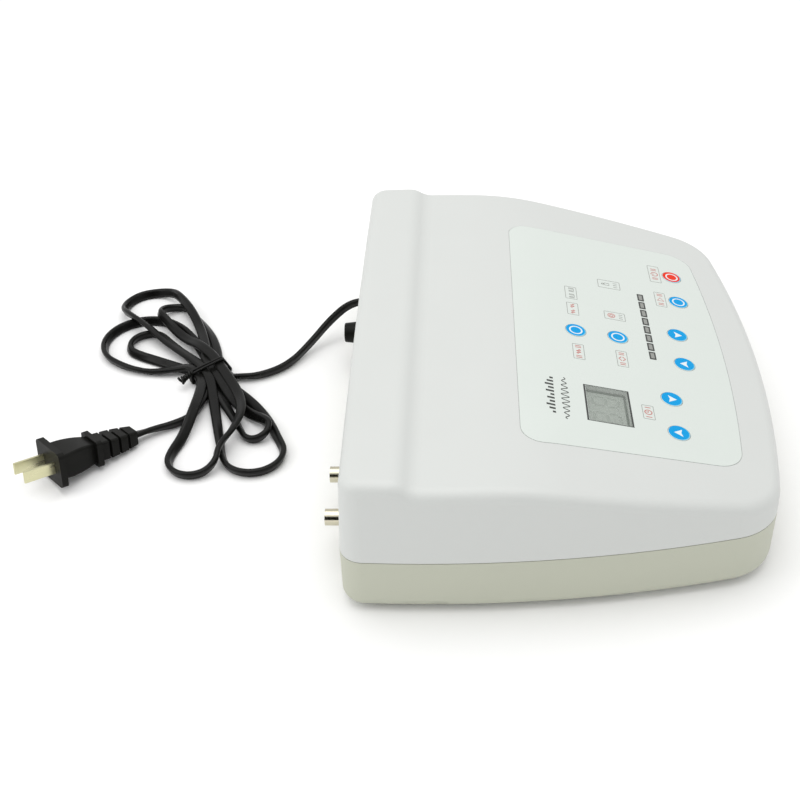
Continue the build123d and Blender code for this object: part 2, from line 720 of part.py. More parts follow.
def fuse_contacts():
    """Two solder tags of the fuse holder."""
    side = box(FUSE_X - 2, FUSE_X + 2, FUSE_WALL_Y - 24, FUSE_WALL_Y - 16, SOCKET_Z - 9.6, SOCKET_Z - 6.15)
    end = box(FUSE_X - 2, FUSE_X + 2, FUSE_TUBE_END - 6, FUSE_TUBE_END, SOCKET_Z - 1, SOCKET_Z + 1)
    return [side, end]


FUSE_CAP_BACK = FUSE_WALL_Y + 1.6
FUSE_CAP_END = 113.3


def fuse_cap():
    """Tapered cap with a screwdriver slot, grip flutes and a sleeve that holds the fuse."""
    cap = cone_y(FUSE_X, SOCKET_Z, FUSE_CAP_BACK, FUSE_CAP_END, 6.75, 5.6)
    rim = cap.edges().filter_by(GeomType.CIRCLE).sort_by(Axis.Y)[-1]
    cap = fillet(rim, 0.7)
    slot = box(FUSE_X - 3.6, FUSE_X + 3.6, FUSE_CAP_END - 1.6, FUSE_CAP_END + 1, SOCKET_Z - 0.6, SOCKET_Z + 0.6)
    cap = cap - slot
    for i in range(12):
        angle = math.radians(30 * i + 15)
        flute_x = FUSE_X + 7.0 * math.cos(angle)
        flute_z = SOCKET_Z + 7.0 * math.sin(angle)
        cap = cap - rod_y(flute_x, flute_z, FUSE_CAP_BACK + 2.5, FUSE_CAP_END + 1, 0.75)
    sleeve = rod_y(FUSE_X, SOCKET_Z, FUSE_WALL_Y - 9, FUSE_CAP_BACK, 5.12)
    hollow = rod_y(FUSE_X, SOCKET_Z, FUSE_WALL_Y - 10, FUSE_WALL_Y + 0.5, 3.3)
    return cap + sleeve - hollow


def fuse_ends():
    """Metal end caps of the fuse."""
    front = FUSE_WALL_Y + 0.2
    back = front - 20.0
    return [rod_y(FUSE_X, SOCKET_Z, front - 5, front, 2.6), rod_y(FUSE_X, SOCKET_Z, back, back + 5, 2.6)]


def fuse_glass():
    """Glass barrel of the fuse."""
    front = FUSE_WALL_Y + 0.2
    tube = rod_y(FUSE_X, SOCKET_Z, front - 15, front - 5, 2.3)
    return tube - rod_y(FUSE_X, SOCKET_Z, front - 16, front - 4, 1.8)


RELIEF_WALL_Y = wall_y(CORD_X)
RELIEF_END_Y = RELIEF_WALL_Y + RELIEF_OUT


def strain_relief():
    """Tapered bushing that grips the cord in the rear wall."""
    outside = cone_y(CORD_X, CORD_Z, RELIEF_WALL_Y, RELIEF_END_Y, 7.0, 4.6)
    neck = rod_y(CORD_X, CORD_Z, RELIEF_WALL_Y - WALL, RELIEF_WALL_Y, 4.95)
    inside = cone_y(CORD_X, CORD_Z, RELIEF_WALL_Y - 16, RELIEF_WALL_Y - WALL, 4.2, 6.4)
    return outside + neck + inside


# ---------------------------------------------------------------- inner leads
def lead(points, radii, r):
    """A round wire along straight runs joined by tangent arcs."""
    path = FilletPolyline(*points, radius=radii)
    start = Plane(origin=path @ 0, z_dir=path % 0)
    return sweep(start * Circle(r), path=path)


def mains_leads():
    """From the strain relief to the fuse holder, and from the strain relief to the transformer."""
    y0 = RELIEF_WALL_Y - 16
    x, y = TRANSFORMER_X, TRANSFORMER_Y
    coil_back = y + CORE[1] / 2 + 10
    live = [
        (CORD_X - 1.6, y0, CORD_Z), (CORD_X - 1.6, y0 - 9, CORD_Z), (CORD_X - 18, y0 - 16, CORD_Z - 6),
        (FUSE_X, y0 - 12, SOCKET_Z - 7.9), (FUSE_X, FUSE_WALL_Y - 24, SOCKET_Z - 7.9),
    ]
    neutral = [
        (CORD_X + 1.6, y0, CORD_Z), (CORD_X + 1.6, y0 - 12, CORD_Z), (CORD_X + 1.6, coil_back + 12, CORD_Z + 8),
        (CORD_X - 4, coil_back, CORD_Z + 10),
    ]
    return [lead(live, 4.0, 1.2), lead(neutral, 4.0, 1.2)]


def transformer_leads():
    """Two secondary leads from the transformer to the main board."""
    x, y = TRANSFORMER_X - 21.6, TRANSFORMER_Y
    made = []
    for i, lead_y in enumerate((y - 19, y - 23)):
        start = (x + 6 + 5 * i, y - 25, 30)
        made.append(lead([
            start, (start[0], y - 30 - 3 * i, 30), (x - 6, lead_y - 12, 21), (34, 4 - 5 * i, BOARD_TOP + 5),
        ], 4.0, 1.0))
    return made


def probe_leads():
    """Screened leads from the main board to the probe sockets."""
    made = []
    for i, x in enumerate(SOCKET_X):
        y = wall_y(x) - 13
        made.append(lead([
            (x, y, SOCKET_Z), (x, y - 12, SOCKET_Z), (x - 4 + 6 * i, 56 - 4 * i, SOCKET_Z + 10),
            (-100 + 6 * i, 44, SOCKET_Z + 6), (-100 + 6 * i, 34, BOARD_TOP + 6),
        ], 4.0, 1.3))
    return made


# ---------------------------------------------------------------- mains cord
LEAD_ROUTE = [             # from the strain relief to the tied hank
    (CORD_X, RELIEF_END_Y, CORD_Z),
    (CORD_X, RELIEF_END_Y + 8, CORD_Z),
    (87.0, 124.5, 12.5),
    (69.0, 137.0, 3.6),
    (49.0, 151.0, 3.1),
    (41.0, 166.0, 4.2),
    (43.0, 178.0, 7.5),
]
TAIL_ROUTE = [             # from the tied hank to the plug
    (40.0, 197.0, 4.0),
    (31.0, 193.6, 3.2),
    (18.0, 193.2, 3.1),
    (5.0, 196.5, 3.1),
    (-3.0, 206.0, 3.1),
    (-8.08, 218.18, 3.63),
    (-15.26, 226.35, 5.26),
]
PLUG_FACE = (-47.9, 263.5, 12.65)     # middle of the front face, between the blades
PLUG_YAW_DEG = 131.3                  # where it points, from +X
PLUG_PITCH_DEG = 8.5                  # its front flange holds its nose up
PLUG_ROLL_DEG = -9.0
BLADE_L = 17.0
PLUG_LENGTH = 50.0
RIB_GAP = 1.5


def run_lengths(points):
    """Length of each straight run of a route."""
    return [(Vector(b) - Vector(a)).length for a, b in zip(points, points[1:])]


def corner_radii(points):
    """For each corner, 0.45 of the shorter run over the tangent of half the turn."""
    runs = run_lengths(points)
    radii = []
    for i in range(1, len(points) - 1):
        before = Vector(points[i]) - Vector(points[i - 1])
        after = Vector(points[i + 1]) - Vector(points[i])
        turn = math.radians(before.get_angle(after))
        radii.append(0.45 * min(runs[i - 1], runs[i]) / math.tan(turn / 2))
    return radii


def cord_tube(name, points):
    """Round tube along a route. Prints its radii, and its volume against section times length."""
    radii = corner_radii(points)
    path = FilletPolyline(*points, radius=radii)
    start = Plane(origin=path @ 0, z_dir=path % 0)
    tube = sweep(start * Circle(CORD_D / 2), path=path)
    expected = math.pi * (CORD_D / 2) ** 2 * path.length
    print(name, "length", round(path.length, 1), "volume ratio", round(tube.volume / expected, 4))
    print("  runs", [round(r, 1) for r in run_lengths(points)], "radii", [round(r, 1) for r in radii])
    return tube


HANK_TIE = (47.0, 193.0)
HANK_UP = [                # rear lobe's outline, from the tie and back to it
    (58.0, 183.0), (74.0, 189.0), (97.0, 199.0), (120.0, 216.0), (136.0, 238.0), (134.0, 258.0),
    (112.0, 268.0), (84.0, 270.0), (62.0, 262.0), (48.0, 247.0), (42.0, 226.0), (39.0, 204.0),
]
HANK_LOW = [               # front lobe's outline
    (38.0, 205.0), (14.0, 201.0), (-14.0, 206.0), (-42.0, 206.0), (-54.0, 196.0), (-52.0, 178.0),
    (-48.0, 160.0), (-42.0, 143.0), (-24.0, 137.0), (-4.0, 143.0), (20.0, 156.0), (44.0, 170.0), (58.0, 184.0),
]
LOBE_H = 12.0
TIE_H = 20.0


def hank():
    """The tied cord as one closed body: two flat lobes that meet under the tie."""
    body = None
    for points in (HANK_UP, HANK_LOW):
        face = make_face(Spline(*points, periodic=True))
        lobe = extrude(facing_up(face), amount=LOBE_H)
        body = lobe if body is None else body + lobe
    waist = Pos(HANK_TIE[0], HANK_TIE[1], TIE_H / 2) * Rot(0, 0, 31.5) * Box(30, 24, TIE_H)
    return body + waist


def cord_tie():
    """Twist tie: a band round the waist of the hank."""
    band = Pos(HANK_TIE[0], HANK_TIE[1], TIE_H / 2 + 0.6) * Rot(0, 0, 31.5) * Box(5, 27, TIE_H + 1.2)
    core = Pos(HANK_TIE[0], HANK_TIE[1], TIE_H / 2) * Rot(0, 0, 31.5) * Box(7, 24, TIE_H)
    return band - core


def plug_plane():
    """Plane of the plug's front face: its Z leaves along the blades, its X crosses both of them."""
    yaw, pitch, roll = (math.radians(a) for a in (PLUG_YAW_DEG, PLUG_PITCH_DEG, PLUG_ROLL_DEG))
    axis = Vector(math.cos(pitch) * math.cos(yaw), math.cos(pitch) * math.sin(yaw), math.sin(pitch))
    level = Vector(math.sin(yaw), -math.cos(yaw), 0)
    across = level * math.cos(roll) + level.cross(axis) * math.sin(roll)
    return Plane(origin=PLUG_FACE, x_dir=across, z_dir=axis)


PLUG = plug_plane()


def plug_block(z0, z1, width, height, corner):
    """A block of the plug with rounded long edges, from z0 to z1 along its axis."""
    block = Box(width, height, z1 - z0)
    block = fillet(block.edges().filter_by(Axis.Z), corner)
    return PLUG.location * Pos(0, 0, (z0 + z1) / 2) * block


def plug_loft(sections):
    """A block of the plug through (place along the axis, width, height) sections."""
    return PLUG.location * loft([Pos(0, 0, z) * RectangleRounded(w, h, 1.5) for z, w, h in sections])


def plug_body():
    """Moulded plug: front flange, bulging body, rear flange and ribbed strain relief."""
    body = plug_block(-3.6, 0, 28.5, 20.0, 3.0)
    body = body + plug_loft([(-24.0, 13.0, 11.5), (-17.0, 16.5, 14.0), (-10.0, 19.5, 14.5), (-3.4, 21.0, 13.5)])
    body = body + plug_block(-27.0, -23.8, 19.0, 15.2, 2.0)
    body = body + plug_loft([(-PLUG_LENGTH, 10.2, 8.4), (-45.5, 12.4, 9.2), (-26.8, 14.5, 11.5)])
    outside = 30.0
    for z in (-32.5, -38.3, -44.1):
        ring = Pos(0, 0, z) * (Box(outside, outside, RIB_GAP) - Box(9.5, 7.5, outside))
        body = body - PLUG.location * ring
    return body


def plug_blades():
    """Two flat blades, set a little into the body's face."""
    made = []
    for side in (-1, 1):
        blade = Box(1.5, 6.3, BLADE_L)
        tip = blade.edges().filter_by(Axis.Y).group_by(Axis.Z)[-1]
        blade = chamfer(tip, 0.5)
        made.append(PLUG.location * Pos(side * 6.35, 0, BLADE_L / 2) * blade)
    return made


# ---------------------------------------------------------------- all the nodes
def main():
    """Builds and writes every node."""
    keep("top_shell", top_shell())
    keep("base_shell", base_shell())
    keep("case_screws", case_screws())
    keep("rubber_feet", rubber_feet())
    keep("keypad_film", film())
    keep("display_window", display_window())
    for name, (x, y) in KEYS.items():
        keep(f"key_{name}", key(x, y))
    keep("tact_switches", tact_switches())
    keep("display_board", display_board())
    keep("display_board_screws", display_board_screws())
    keep("digit_module", digit_module())
    keep("digit_segments", digit_bars(DIGIT_W - 0.6, DIGIT_W - 0.1, 0.1))
    keep("bargraph_lamps", bargraph_lamps())
    keep("icon_lamps", icon_lamps())
    keep("display_header", display_header())
    keep("ribbon_cable", ribbon_cable())
    keep("main_board", main_board())
    keep("main_board_screws", main_board_screws())
    keep("main_header", main_header())
    keep("heatsink", heatsink())
    keep("drive_transistors", drive_transistors())
    keep("transistor_screws", transistor_screws())
    keep("drive_transformer", drive_transformer())
    keep("drive_winding", drive_winding())
    keep("capacitors", capacitors())
    keep("rectifier", [rectifier() + Compound(children=rectifier_legs())])
    keep("relay", relay())
    keep("buzzer", buzzer())
    keep("controller_chip", controller_chip())
    keep("terminal_blocks", terminal_blocks())
    keep("transformer_core", transformer_core())
    keep("transformer_winding", transformer_winding())
    keep("transformer_bracket", transformer_bracket())
    keep("transformer_screws", transformer_screws())
    keep("transformer_pad", transformer_pad())
    keep("socket_shells", socket_shells())
    keep("socket_insulators", socket_insulators())
    keep("socket_contacts", socket_contacts())
    keep("socket_nuts", socket_nuts())
    keep("fuse_holder_body", fuse_holder_body())
    keep("fuse_holder_nut", fuse_holder_nut())
    keep("fuse_contacts", fuse_contacts())
    keep("fuse_cap", fuse_cap())
    keep("fuse_ends", fuse_ends())
    keep("fuse_glass", fuse_glass())
    keep("strain_relief", strain_relief())
    keep("internal_leads", mains_leads() + transformer_leads() + probe_leads())
    keep("power_cord_lead", cord_tube("lead", LEAD_ROUTE))
    keep("power_cord_hank", hank())
    keep("power_cord_tail", cord_tube("tail", TAIL_ROUTE))
    keep("cord_tie", cord_tie())
    keep("plug_body", plug_body())
    keep("plug_blades", plug_blades())


main()
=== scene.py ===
"""Looks of a desktop ultrasound therapy device: finishes, printed keypad, mains cord and studio.

Lengths in the tables below are millimetres in the frame of the CAD model (+X the user's right, +Y the rear,
+Z up); mm() turns them into the metres that Blender works in.
"""
import json
import math

import bmesh
import bpy
import numpy as np
from mathutils import Matrix, Vector
from mathutils.bvhtree import BVHTree
from mathutils.geometry import convex_hull_2d


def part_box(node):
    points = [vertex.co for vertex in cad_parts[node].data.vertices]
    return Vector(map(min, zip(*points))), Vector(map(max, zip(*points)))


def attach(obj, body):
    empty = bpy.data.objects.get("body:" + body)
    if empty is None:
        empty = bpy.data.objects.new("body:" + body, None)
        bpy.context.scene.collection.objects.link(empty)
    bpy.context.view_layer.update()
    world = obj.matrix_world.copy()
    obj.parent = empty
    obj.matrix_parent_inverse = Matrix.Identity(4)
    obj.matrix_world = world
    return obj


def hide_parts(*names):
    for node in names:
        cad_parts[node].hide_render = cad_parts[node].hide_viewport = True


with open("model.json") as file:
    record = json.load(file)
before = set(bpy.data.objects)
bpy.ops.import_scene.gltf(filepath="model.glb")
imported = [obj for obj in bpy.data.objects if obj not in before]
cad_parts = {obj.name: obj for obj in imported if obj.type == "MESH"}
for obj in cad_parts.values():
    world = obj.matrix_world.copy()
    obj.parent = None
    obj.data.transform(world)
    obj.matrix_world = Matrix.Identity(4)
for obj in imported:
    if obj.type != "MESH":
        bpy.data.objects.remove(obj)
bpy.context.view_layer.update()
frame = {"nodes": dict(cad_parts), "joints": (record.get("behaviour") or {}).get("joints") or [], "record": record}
nodes = frame["nodes"]
MM = 0.001


def mm(*values):
    """A point or size given in millimetres, in metres."""
    return Vector([value * MM for value in values])


# ---------------------------------------------------------------- camera, floor and light
CAMERA_PLACE = (-533.6, 42.2, 427.2)
CAMERA_PITCH = 37.44       # below the horizon
CAMERA_YAW = 3.90          # from +X towards +Y
CAMERA_ROLL = 2.54
CAMERA_SENSOR = 36.0
CAMERA_LENS = 54.94
# The places and sizes of the lights and of the stage's sheets are in metres, their power in watts.
WORLD_STRENGTH = 0.80
LAMP_COLOUR = (1.0, 0.995, 0.985)
FLOOR_SIDE = 12.0
# The dark side of the studio, behind the camera, which only glossy surfaces show.
ROOM_CORNERS = [(-1.8, 1.6, 0.02), (-1.8, -1.6, 0.02), (-1.3, -1.6, 1.25), (-1.3, 1.6, 1.25)]


def add_camera():
    camera = bpy.data.objects.new("camera", bpy.data.cameras.new("camera"))
    bpy.context.collection.objects.link(camera)
    camera.data.lens = CAMERA_LENS
    camera.data.sensor_width = CAMERA_SENSOR
    camera.data.clip_start = 0.01
    pitch, yaw, roll = (math.radians(a) for a in (CAMERA_PITCH, CAMERA_YAW, CAMERA_ROLL))
    ahead = Vector((math.cos(pitch) * math.cos(yaw), math.cos(pitch) * math.sin(yaw), -math.sin(pitch)))
    right = ahead.cross(Vector((0, 0, 1))).normalized()
    up = right.cross(ahead)
    turned_right = right * math.cos(roll) - up * math.sin(roll)
    turned_up = up * math.cos(roll) + right * math.sin(roll)
    axes = Matrix((turned_right, turned_up, -ahead)).transposed()
    camera.matrix_world = Matrix.Translation(mm(*CAMERA_PLACE)) @ axes.to_4x4()
    bpy.context.scene.camera = camera


def add_area_light(name, place, aim, size, power):
    lamp = bpy.data.lights.new(name, "AREA")
    lamp.shape = "SQUARE"
    lamp.size = size
    lamp.energy = power
    lamp.color = LAMP_COLOUR
    light = bpy.data.objects.new(name, lamp)
    bpy.context.collection.objects.link(light)
    towards = Vector(aim) - Vector(place)
    light.matrix_world = Matrix.Translation(place) @ towards.to_track_quat("-Z", "Y").to_matrix().to_4x4()


def add_sheet(name, corners, material):
    """A flat stage sheet, which isn't part of the object."""
    mesh = bpy.data.meshes.new(name)
    mesh.from_pydata(corners, [], [(0, 1, 2, 3)])
    mesh.materials.append(material)
    sheet = bpy.data.objects.new(name, mesh)
    bpy.context.collection.objects.link(sheet)
    return sheet


def add_studio():
    world = bpy.data.worlds.new("studio")
    bpy.context.scene.world = world
    world.use_nodes = True
    background = world.node_tree.nodes["Background"]
    background.inputs["Color"].default_value = (1.0, 1.0, 1.0, 1.0)
    background.inputs["Strength"].default_value = WORLD_STRENGTH
    add_area_light("overhead", place=(0.1, 0.1, 1.3), aim=(0.0, 0.05, 0.0), size=1.3, power=8.0)
    add_area_light("rear_left", place=(-0.3, 1.1, 0.9), aim=(0.0, 0.05, 0.05), size=0.7, power=2.5)
    paper = finish("floor_paper", (0.95, 0.95, 0.95), rough=0.9, mottle=0.0, specular=0.1)
    side = FLOOR_SIDE / 2
    add_sheet("floor", [(-side, -side, 0), (side, -side, 0), (side, side, 0), (-side, side, 0)], paper)
    dark = finish("dark_room", (0.01, 0.01, 0.01), rough=0.9, mottle=0.0, specular=0.0)
    room = add_sheet("dark_room", ROOM_CORNERS, dark)
    room.visible_camera = room.visible_diffuse = room.visible_shadow = False
    bpy.context.scene.view_settings.view_transform = "Standard"


# ---------------------------------------------------------------- materials
WAVE_PERIOD = 0.314         # a band texture of scale 1 repeats after so many metres
PAINTED_SHADE_MOST = 0.35            # how much of the painted shade shows at the lowest edge
PAINTED_SHADE_DARK = 0.6             # the colour of the painted shade, by the unshaded one
BAND_DARK = 0.55            # the colour of bands that name none, by the ground's
NOISE_RANGE = (0.3, 0.7)    # where most of a noise's values lie


def noise(tree, place, scale, detail):
    made = tree.nodes.new("ShaderNodeTexNoise")
    made.inputs["Scale"].default_value = scale
    made.inputs["Detail"].default_value = detail
    tree.links.new(place, made.inputs["Vector"])
    return made.outputs["Fac"]


def remap(tree, value, low, high, to_low, to_high):
    made = tree.nodes.new("ShaderNodeMapRange")
    for name, number in (("From Min", low), ("From Max", high), ("To Min", to_low), ("To Max", to_high)):
        made.inputs[name].default_value = number
    tree.links.new(value, made.inputs["Value"])
    return made.outputs[0]


def mix(tree, factor, first, second):
    """Two colours mixed by a socket; the first may be a socket too."""
    made = tree.nodes.new("ShaderNodeMix")
    made.data_type = "RGBA"
    tree.links.new(factor, made.inputs[0])
    if isinstance(first, bpy.types.NodeSocket):
        tree.links.new(first, made.inputs[6])
    else:
        made.inputs[6].default_value = (*first, 1.0)
    made.inputs[7].default_value = (*second, 1.0)
    return made.outputs[2]


def finish(name, colour, rough, mottle=0.03, mottle_scale=45.0, grain=0.0, grain_scale=1500.0, depth=0.05,
           metal=0.0, specular=0.5, coat=0.0, alpha=1.0, spread=0.06, bands=None, band_mm=1.0,
           band_colour=None, stretch=(1.0, 1.0, 1.0), painted_shade_height=None):
    """A procedural plastic, rubber, metal or paint.

    mottle is the slow variation of its colour, grain the strength of its fine relief, whose depth is in
    millimetres, and spread the variation of its roughness. bands names an axis that fine stripes cross, and
    dust is a height in millimetres under which painted shade darkens the colour, towards the floor.
    """
    material = bpy.data.materials.new(name)
    material.use_nodes = True
    tree = material.node_tree
    links = tree.links
    bsdf = tree.nodes["Principled BSDF"]
    for socket, value in (("Metallic", metal), ("Specular IOR Level", specular), ("Coat Weight", coat),
                          ("Alpha", alpha), ("Roughness", rough)):
        bsdf.inputs[socket].default_value = value
    place = tree.nodes.new("ShaderNodeTexCoord").outputs["Object"]
    mapping = tree.nodes.new("ShaderNodeMapping")
    mapping.inputs["Scale"].default_value = stretch
    links.new(place, mapping.inputs["Vector"])

    slow = noise(tree, mapping.outputs["Vector"], mottle_scale, 4.0)
    darker = [max(0.0, c * (1 - mottle)) for c in colour]
    paler = [min(1.0, c * (1 + mottle)) for c in colour]
    shade = mix(tree, slow, darker, paler)
    if bands:
        wave = tree.nodes.new("ShaderNodeTexWave")
        wave.bands_direction = bands
        wave.inputs["Scale"].default_value = WAVE_PERIOD / (band_mm * MM)
        wave.inputs["Distortion"].default_value = 0.15
        links.new(place, wave.inputs["Vector"])
        shade = mix(tree, wave.outputs["Fac"], shade, band_colour or [BAND_DARK * c for c in colour])
    # painted shade: below the given height the colour darkens towards the floor, in patches that follow the slow
    # noise
    if painted_shade_height:
        split = tree.nodes.new("ShaderNodeSeparateXYZ")
        links.new(place, split.inputs[0])
        painted_shade_mask = tree.nodes.new("ShaderNodeMath")
        painted_shade_mask.operation = "MULTIPLY"
        links.new(remap(tree, split.outputs["Z"], 0.0, painted_shade_height * MM, PAINTED_SHADE_MOST, 0.0), painted_shade_mask.inputs[0])
        links.new(slow, painted_shade_mask.inputs[1])
        shade = mix(tree, painted_shade_mask.outputs[0], shade, [PAINTED_SHADE_DARK * c for c in colour])
    links.new(shade, bsdf.inputs["Base Color"])

    if spread:
        worn = remap(tree, slow, *NOISE_RANGE, max(0.02, rough - spread), min(1.0, rough + spread))
        links.new(worn, bsdf.inputs["Roughness"])
    if grain:
        relief = tree.nodes.new("ShaderNodeBump")
        relief.inputs["Strength"].default_value = grain
        relief.inputs["Distance"].default_value = depth * MM
        links.new(noise(tree, mapping.outputs["Vector"], grain_scale, 2.0), relief.inputs["Height"])
        links.new(relief.outputs["Normal"], bsdf.inputs["Normal"])
    return material


FINISHES = {
    "white_shell": dict(colour=(0.605, 0.622, 0.605), rough=0.42, mottle=0.008, grain=0.25,
                        grain_scale=1900),
    # the beige base gets painted shade below 9 mm over the floor
    "beige_base": dict(colour=(0.50, 0.514, 0.422), rough=0.5, mottle=0.02, grain=0.35,
                       grain_scale=1700, painted_shade_height=9),
    "keypad_film": dict(colour=(0.635, 0.68, 0.645), rough=0.36, mottle=0.008, grain=0.12,
                        grain_scale=2600),
    "clear_film": dict(colour=(0.42, 0.46, 0.42), rough=0.12, mottle=0.01, alpha=0.25, spread=0.03),
    "key_cap": dict(colour=(0.635, 0.68, 0.645), rough=0.36, mottle=0.01, grain=0.12, grain_scale=2600),
    "black_plastic": dict(colour=(0.006, 0.0065, 0.005), rough=0.36, specular=0.12, mottle=0.15,
                          grain=0.4, grain_scale=1500),
    "rubber_black": dict(colour=(0.008, 0.008, 0.007), rough=0.45, specular=0.10, mottle=0.2,
                         grain=0.5, grain_scale=1200),
    "cord_pvc": dict(colour=(0.005, 0.005, 0.0045), rough=0.33, specular=0.20, mottle=0.2, mottle_scale=90,
                     grain=0.35, grain_scale=1400, depth=0.06, spread=0.09),
    "nickel": dict(colour=(0.62, 0.585, 0.46), rough=0.2, metal=1.0, mottle=0.04, grain=0.15, grain_scale=900,
                   stretch=(1, 1, 9), depth=0.01),
    "blade_brass": dict(colour=(0.66, 0.64, 0.41), rough=0.34, metal=1.0, mottle=0.08, grain=0.3,
                        grain_scale=700, stretch=(1, 1, 7), depth=0.02, spread=0.1),
    "steel": dict(colour=(0.56, 0.56, 0.55), rough=0.32, metal=1.0, mottle=0.08, grain=0.3, spread=0.12),
    "pcb": dict(colour=(0.05, 0.22, 0.09), rough=0.45, mottle=0.12, mottle_scale=130, coat=0.3, bands="X",
                band_mm=2.5, band_colour=(0.07, 0.28, 0.12)),
    "display_face": dict(colour=(0.46, 0.50, 0.46), rough=0.4, mottle=0.03),
    "segment": dict(colour=(0.37, 0.41, 0.37), rough=0.3, mottle=0.03),
    "lamp": dict(colour=(0.45, 0.09, 0.06), rough=0.15, mottle=0.04, specular=0.6),
    "laminations": dict(colour=(0.22, 0.21, 0.20), rough=0.45, metal=0.8, bands="Z", band_mm=0.6),
    "ferrite": dict(colour=(0.06, 0.06, 0.065), rough=0.6, mottle=0.25, grain=0.6, grain_scale=900),
    "winding": dict(colour=(0.55, 0.22, 0.07), rough=0.3, metal=0.9, bands="Z", band_mm=0.8),
    "aluminium": dict(colour=(0.72, 0.73, 0.74), rough=0.35, metal=1.0, mottle=0.05, grain=0.3,
                      stretch=(8, 1, 1)),
    "blue_case": dict(colour=(0.04, 0.12, 0.35), rough=0.35, mottle=0.1, coat=0.2),
    "lead_sleeve": dict(colour=(0.45, 0.05, 0.04), rough=0.4, mottle=0.15),
    "ribbon": dict(colour=(0.45, 0.45, 0.44), rough=0.45, bands="X", band_mm=1.27, mottle=0.05),
    "nylon": dict(colour=(0.68, 0.66, 0.58), rough=0.5, mottle=0.06, grain=0.3),
}


def dress_cad():
    """Every CAD node gets the finish of its slot in the record."""
    made = {name: finish(name, **values) for name, values in FINISHES.items()}
    for entry in frame["record"]["subparts"]:
        for place in nodes[entry["node"]].material_slots:
            place.material = made[entry["material_slot"]]
    bevel = nodes["plug_body"].modifiers.new("eased_edges", "BEVEL")
    bevel.width = 0.35 * MM
    bevel.segments = 2
    bevel.angle_limit = math.radians(40)
    return made


# ---------------------------------------------------------------- mesh helpers
def piece(name, bm, material, body, smooth=30):
    """A finished object from a bmesh, riding on a body, with its material.

    Edges up to smooth degrees are shaded smooth; with 0 every face is flat.
    """
    mesh = bpy.data.meshes.new(name)
    bmesh.ops.recalc_face_normals(bm, faces=bm.faces)
    bm.to_mesh(mesh)
    bm.free()
    mesh.materials.append(material)
    made = bpy.data.objects.new(name, mesh)
    bpy.context.collection.objects.link(made)
    if smooth:
        mesh.polygons.foreach_set("use_smooth", [True] * len(mesh.polygons))
        mesh.set_sharp_from_angle(angle=math.radians(smooth))
    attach(made, body)
    return made


def skin(bm, rings, closed=False):
    """Joins rings of points, all of one count, into a closed tube; open ends get a cap."""
    rows = [[bm.verts.new(point) for point in ring] for ring in rings]
    pairs = list(zip(rows, rows[1:] + rows[:1])) if closed else list(zip(rows, rows[1:]))
    count = len(rows[0])
    for row, following in pairs:
        for i in range(count):
            j = (i + 1) % count
            bm.faces.new((row[i], row[j], following[j], following[i]))
    if not closed:
        bm.faces.new(list(reversed(rows[0])))
        bm.faces.new(rows[-1])


def tube(bm, points, radius, closed=False, sides=8):
    """A round tube of that radius, in millimetres, along points in metres."""
    count = len(points)
    turns = [2 * math.pi * k / sides for k in range(sides)]
    rings = []
    side = None
    for i, centre in enumerate(points):
        after = points[(i + 1) % count] if closed or i < count - 1 else points[i]
        before = points[i - 1] if closed or i else points[i]
        ahead = (after - before).normalized()
        if side is None:
            side = ahead.orthogonal()
        side = (side - ahead * side.dot(ahead)).normalized()
        other = ahead.cross(side)
        rings.append([centre + (side * math.cos(t) + other * math.sin(t)) * radius * MM for t in turns])
    skin(bm, rings, closed)


# ---------------------------------------------------------------- mains cord
CORD_W = 6.0                # the flat twin cord's width
CORD_H = 3.4                # and thickness
SECTION_POINTS = 24         # round its outline
GROOVE_DEEP = 0.22          # the groove between its two cores
GROOVE_WIDE = 0.7
EDGE_POWER, FACE_POWER = 0.8, 0.65           # below 1, so that the outline is flatter than an ellipse
LEAD_ROUTE = [              # from the strain relief to the tied hank
    (94.0, 106.09, 21.5), (93.5, 113.0, 20.9), (86.5, 125.5, 12.5), (74.5, 135.5, 5.6),
    (53.5, 147.5, 3.1), (42.5, 164.0, 3.1), (43.0, 178.0, 3.0),
]
LEAD_TILTS = [60.0, 70.0, 80.0, 80.0, 75.0, 60.0, 35.0]      # degrees between the cord's width and the level
TAIL_ROUTE = [              # from the tied hank to the plug
    (27.0, 193.3, 3.0), (18.0, 193.2, 3.1), (5.0, 196.5, 3.1),
    (-3.0, 206.0, 3.1), (-8.08, 218.18, 3.63), (-15.26, 226.35, 5.26),
]
TAIL_TILTS = [40.0, 65.0, 75.0, 70.0, 45.0, 15.0]
TIE = (46.0, 194.0)         # middle of the bundle where the wire ties it
TIE_TURN = 31.5             # degrees from +X to the bundle's direction
TIE_HALF = 9.0              # half of the stretch in which the strands lie side by side
# Each loop of the hank: middle and radius of its far end, which way it turns (1 is left), how far its
# outgoing and returning legs bow outwards, and where the strand that follows it passes the tie: its
# place across the bundle, and its layer, which the legs on both sides of the tie keep.
LOOPS = [
    dict(middle=(107.0, 225.0), radius=10.5, turn=1, bows=(4.0, 0.0), across=-6.0, layer=7),
    dict(middle=(-33.0, 190.0), radius=14.0, turn=-1, bows=(12.0, -4.0), across=8.0, layer=3),
    dict(middle=(78.0, 240.0), radius=25.5, turn=-1, bows=(4.0, 2.5), across=-3.0, layer=2),
    dict(middle=(-28.0, 158.0), radius=17.0, turn=-1, bows=(5.0, 0.0), across=3.0, layer=5),
    dict(middle=(117.0, 243.0), radius=18.0, turn=-1, bows=(0.0, 5.0), across=-2.0, layer=4),
    dict(middle=(-9.0, 159.0), radius=7.5, turn=-1, bows=(-3.0, 0.0), across=2.0, layer=1),
    dict(middle=(76.0, 237.0), radius=12.0, turn=1, bows=(0.0, 0.0), across=8.0, layer=0.5),
]
LEAD_ACROSS = -9.0          # where the lead enters the bundle
LEG_POINTS = 4
END_POINTS = 7
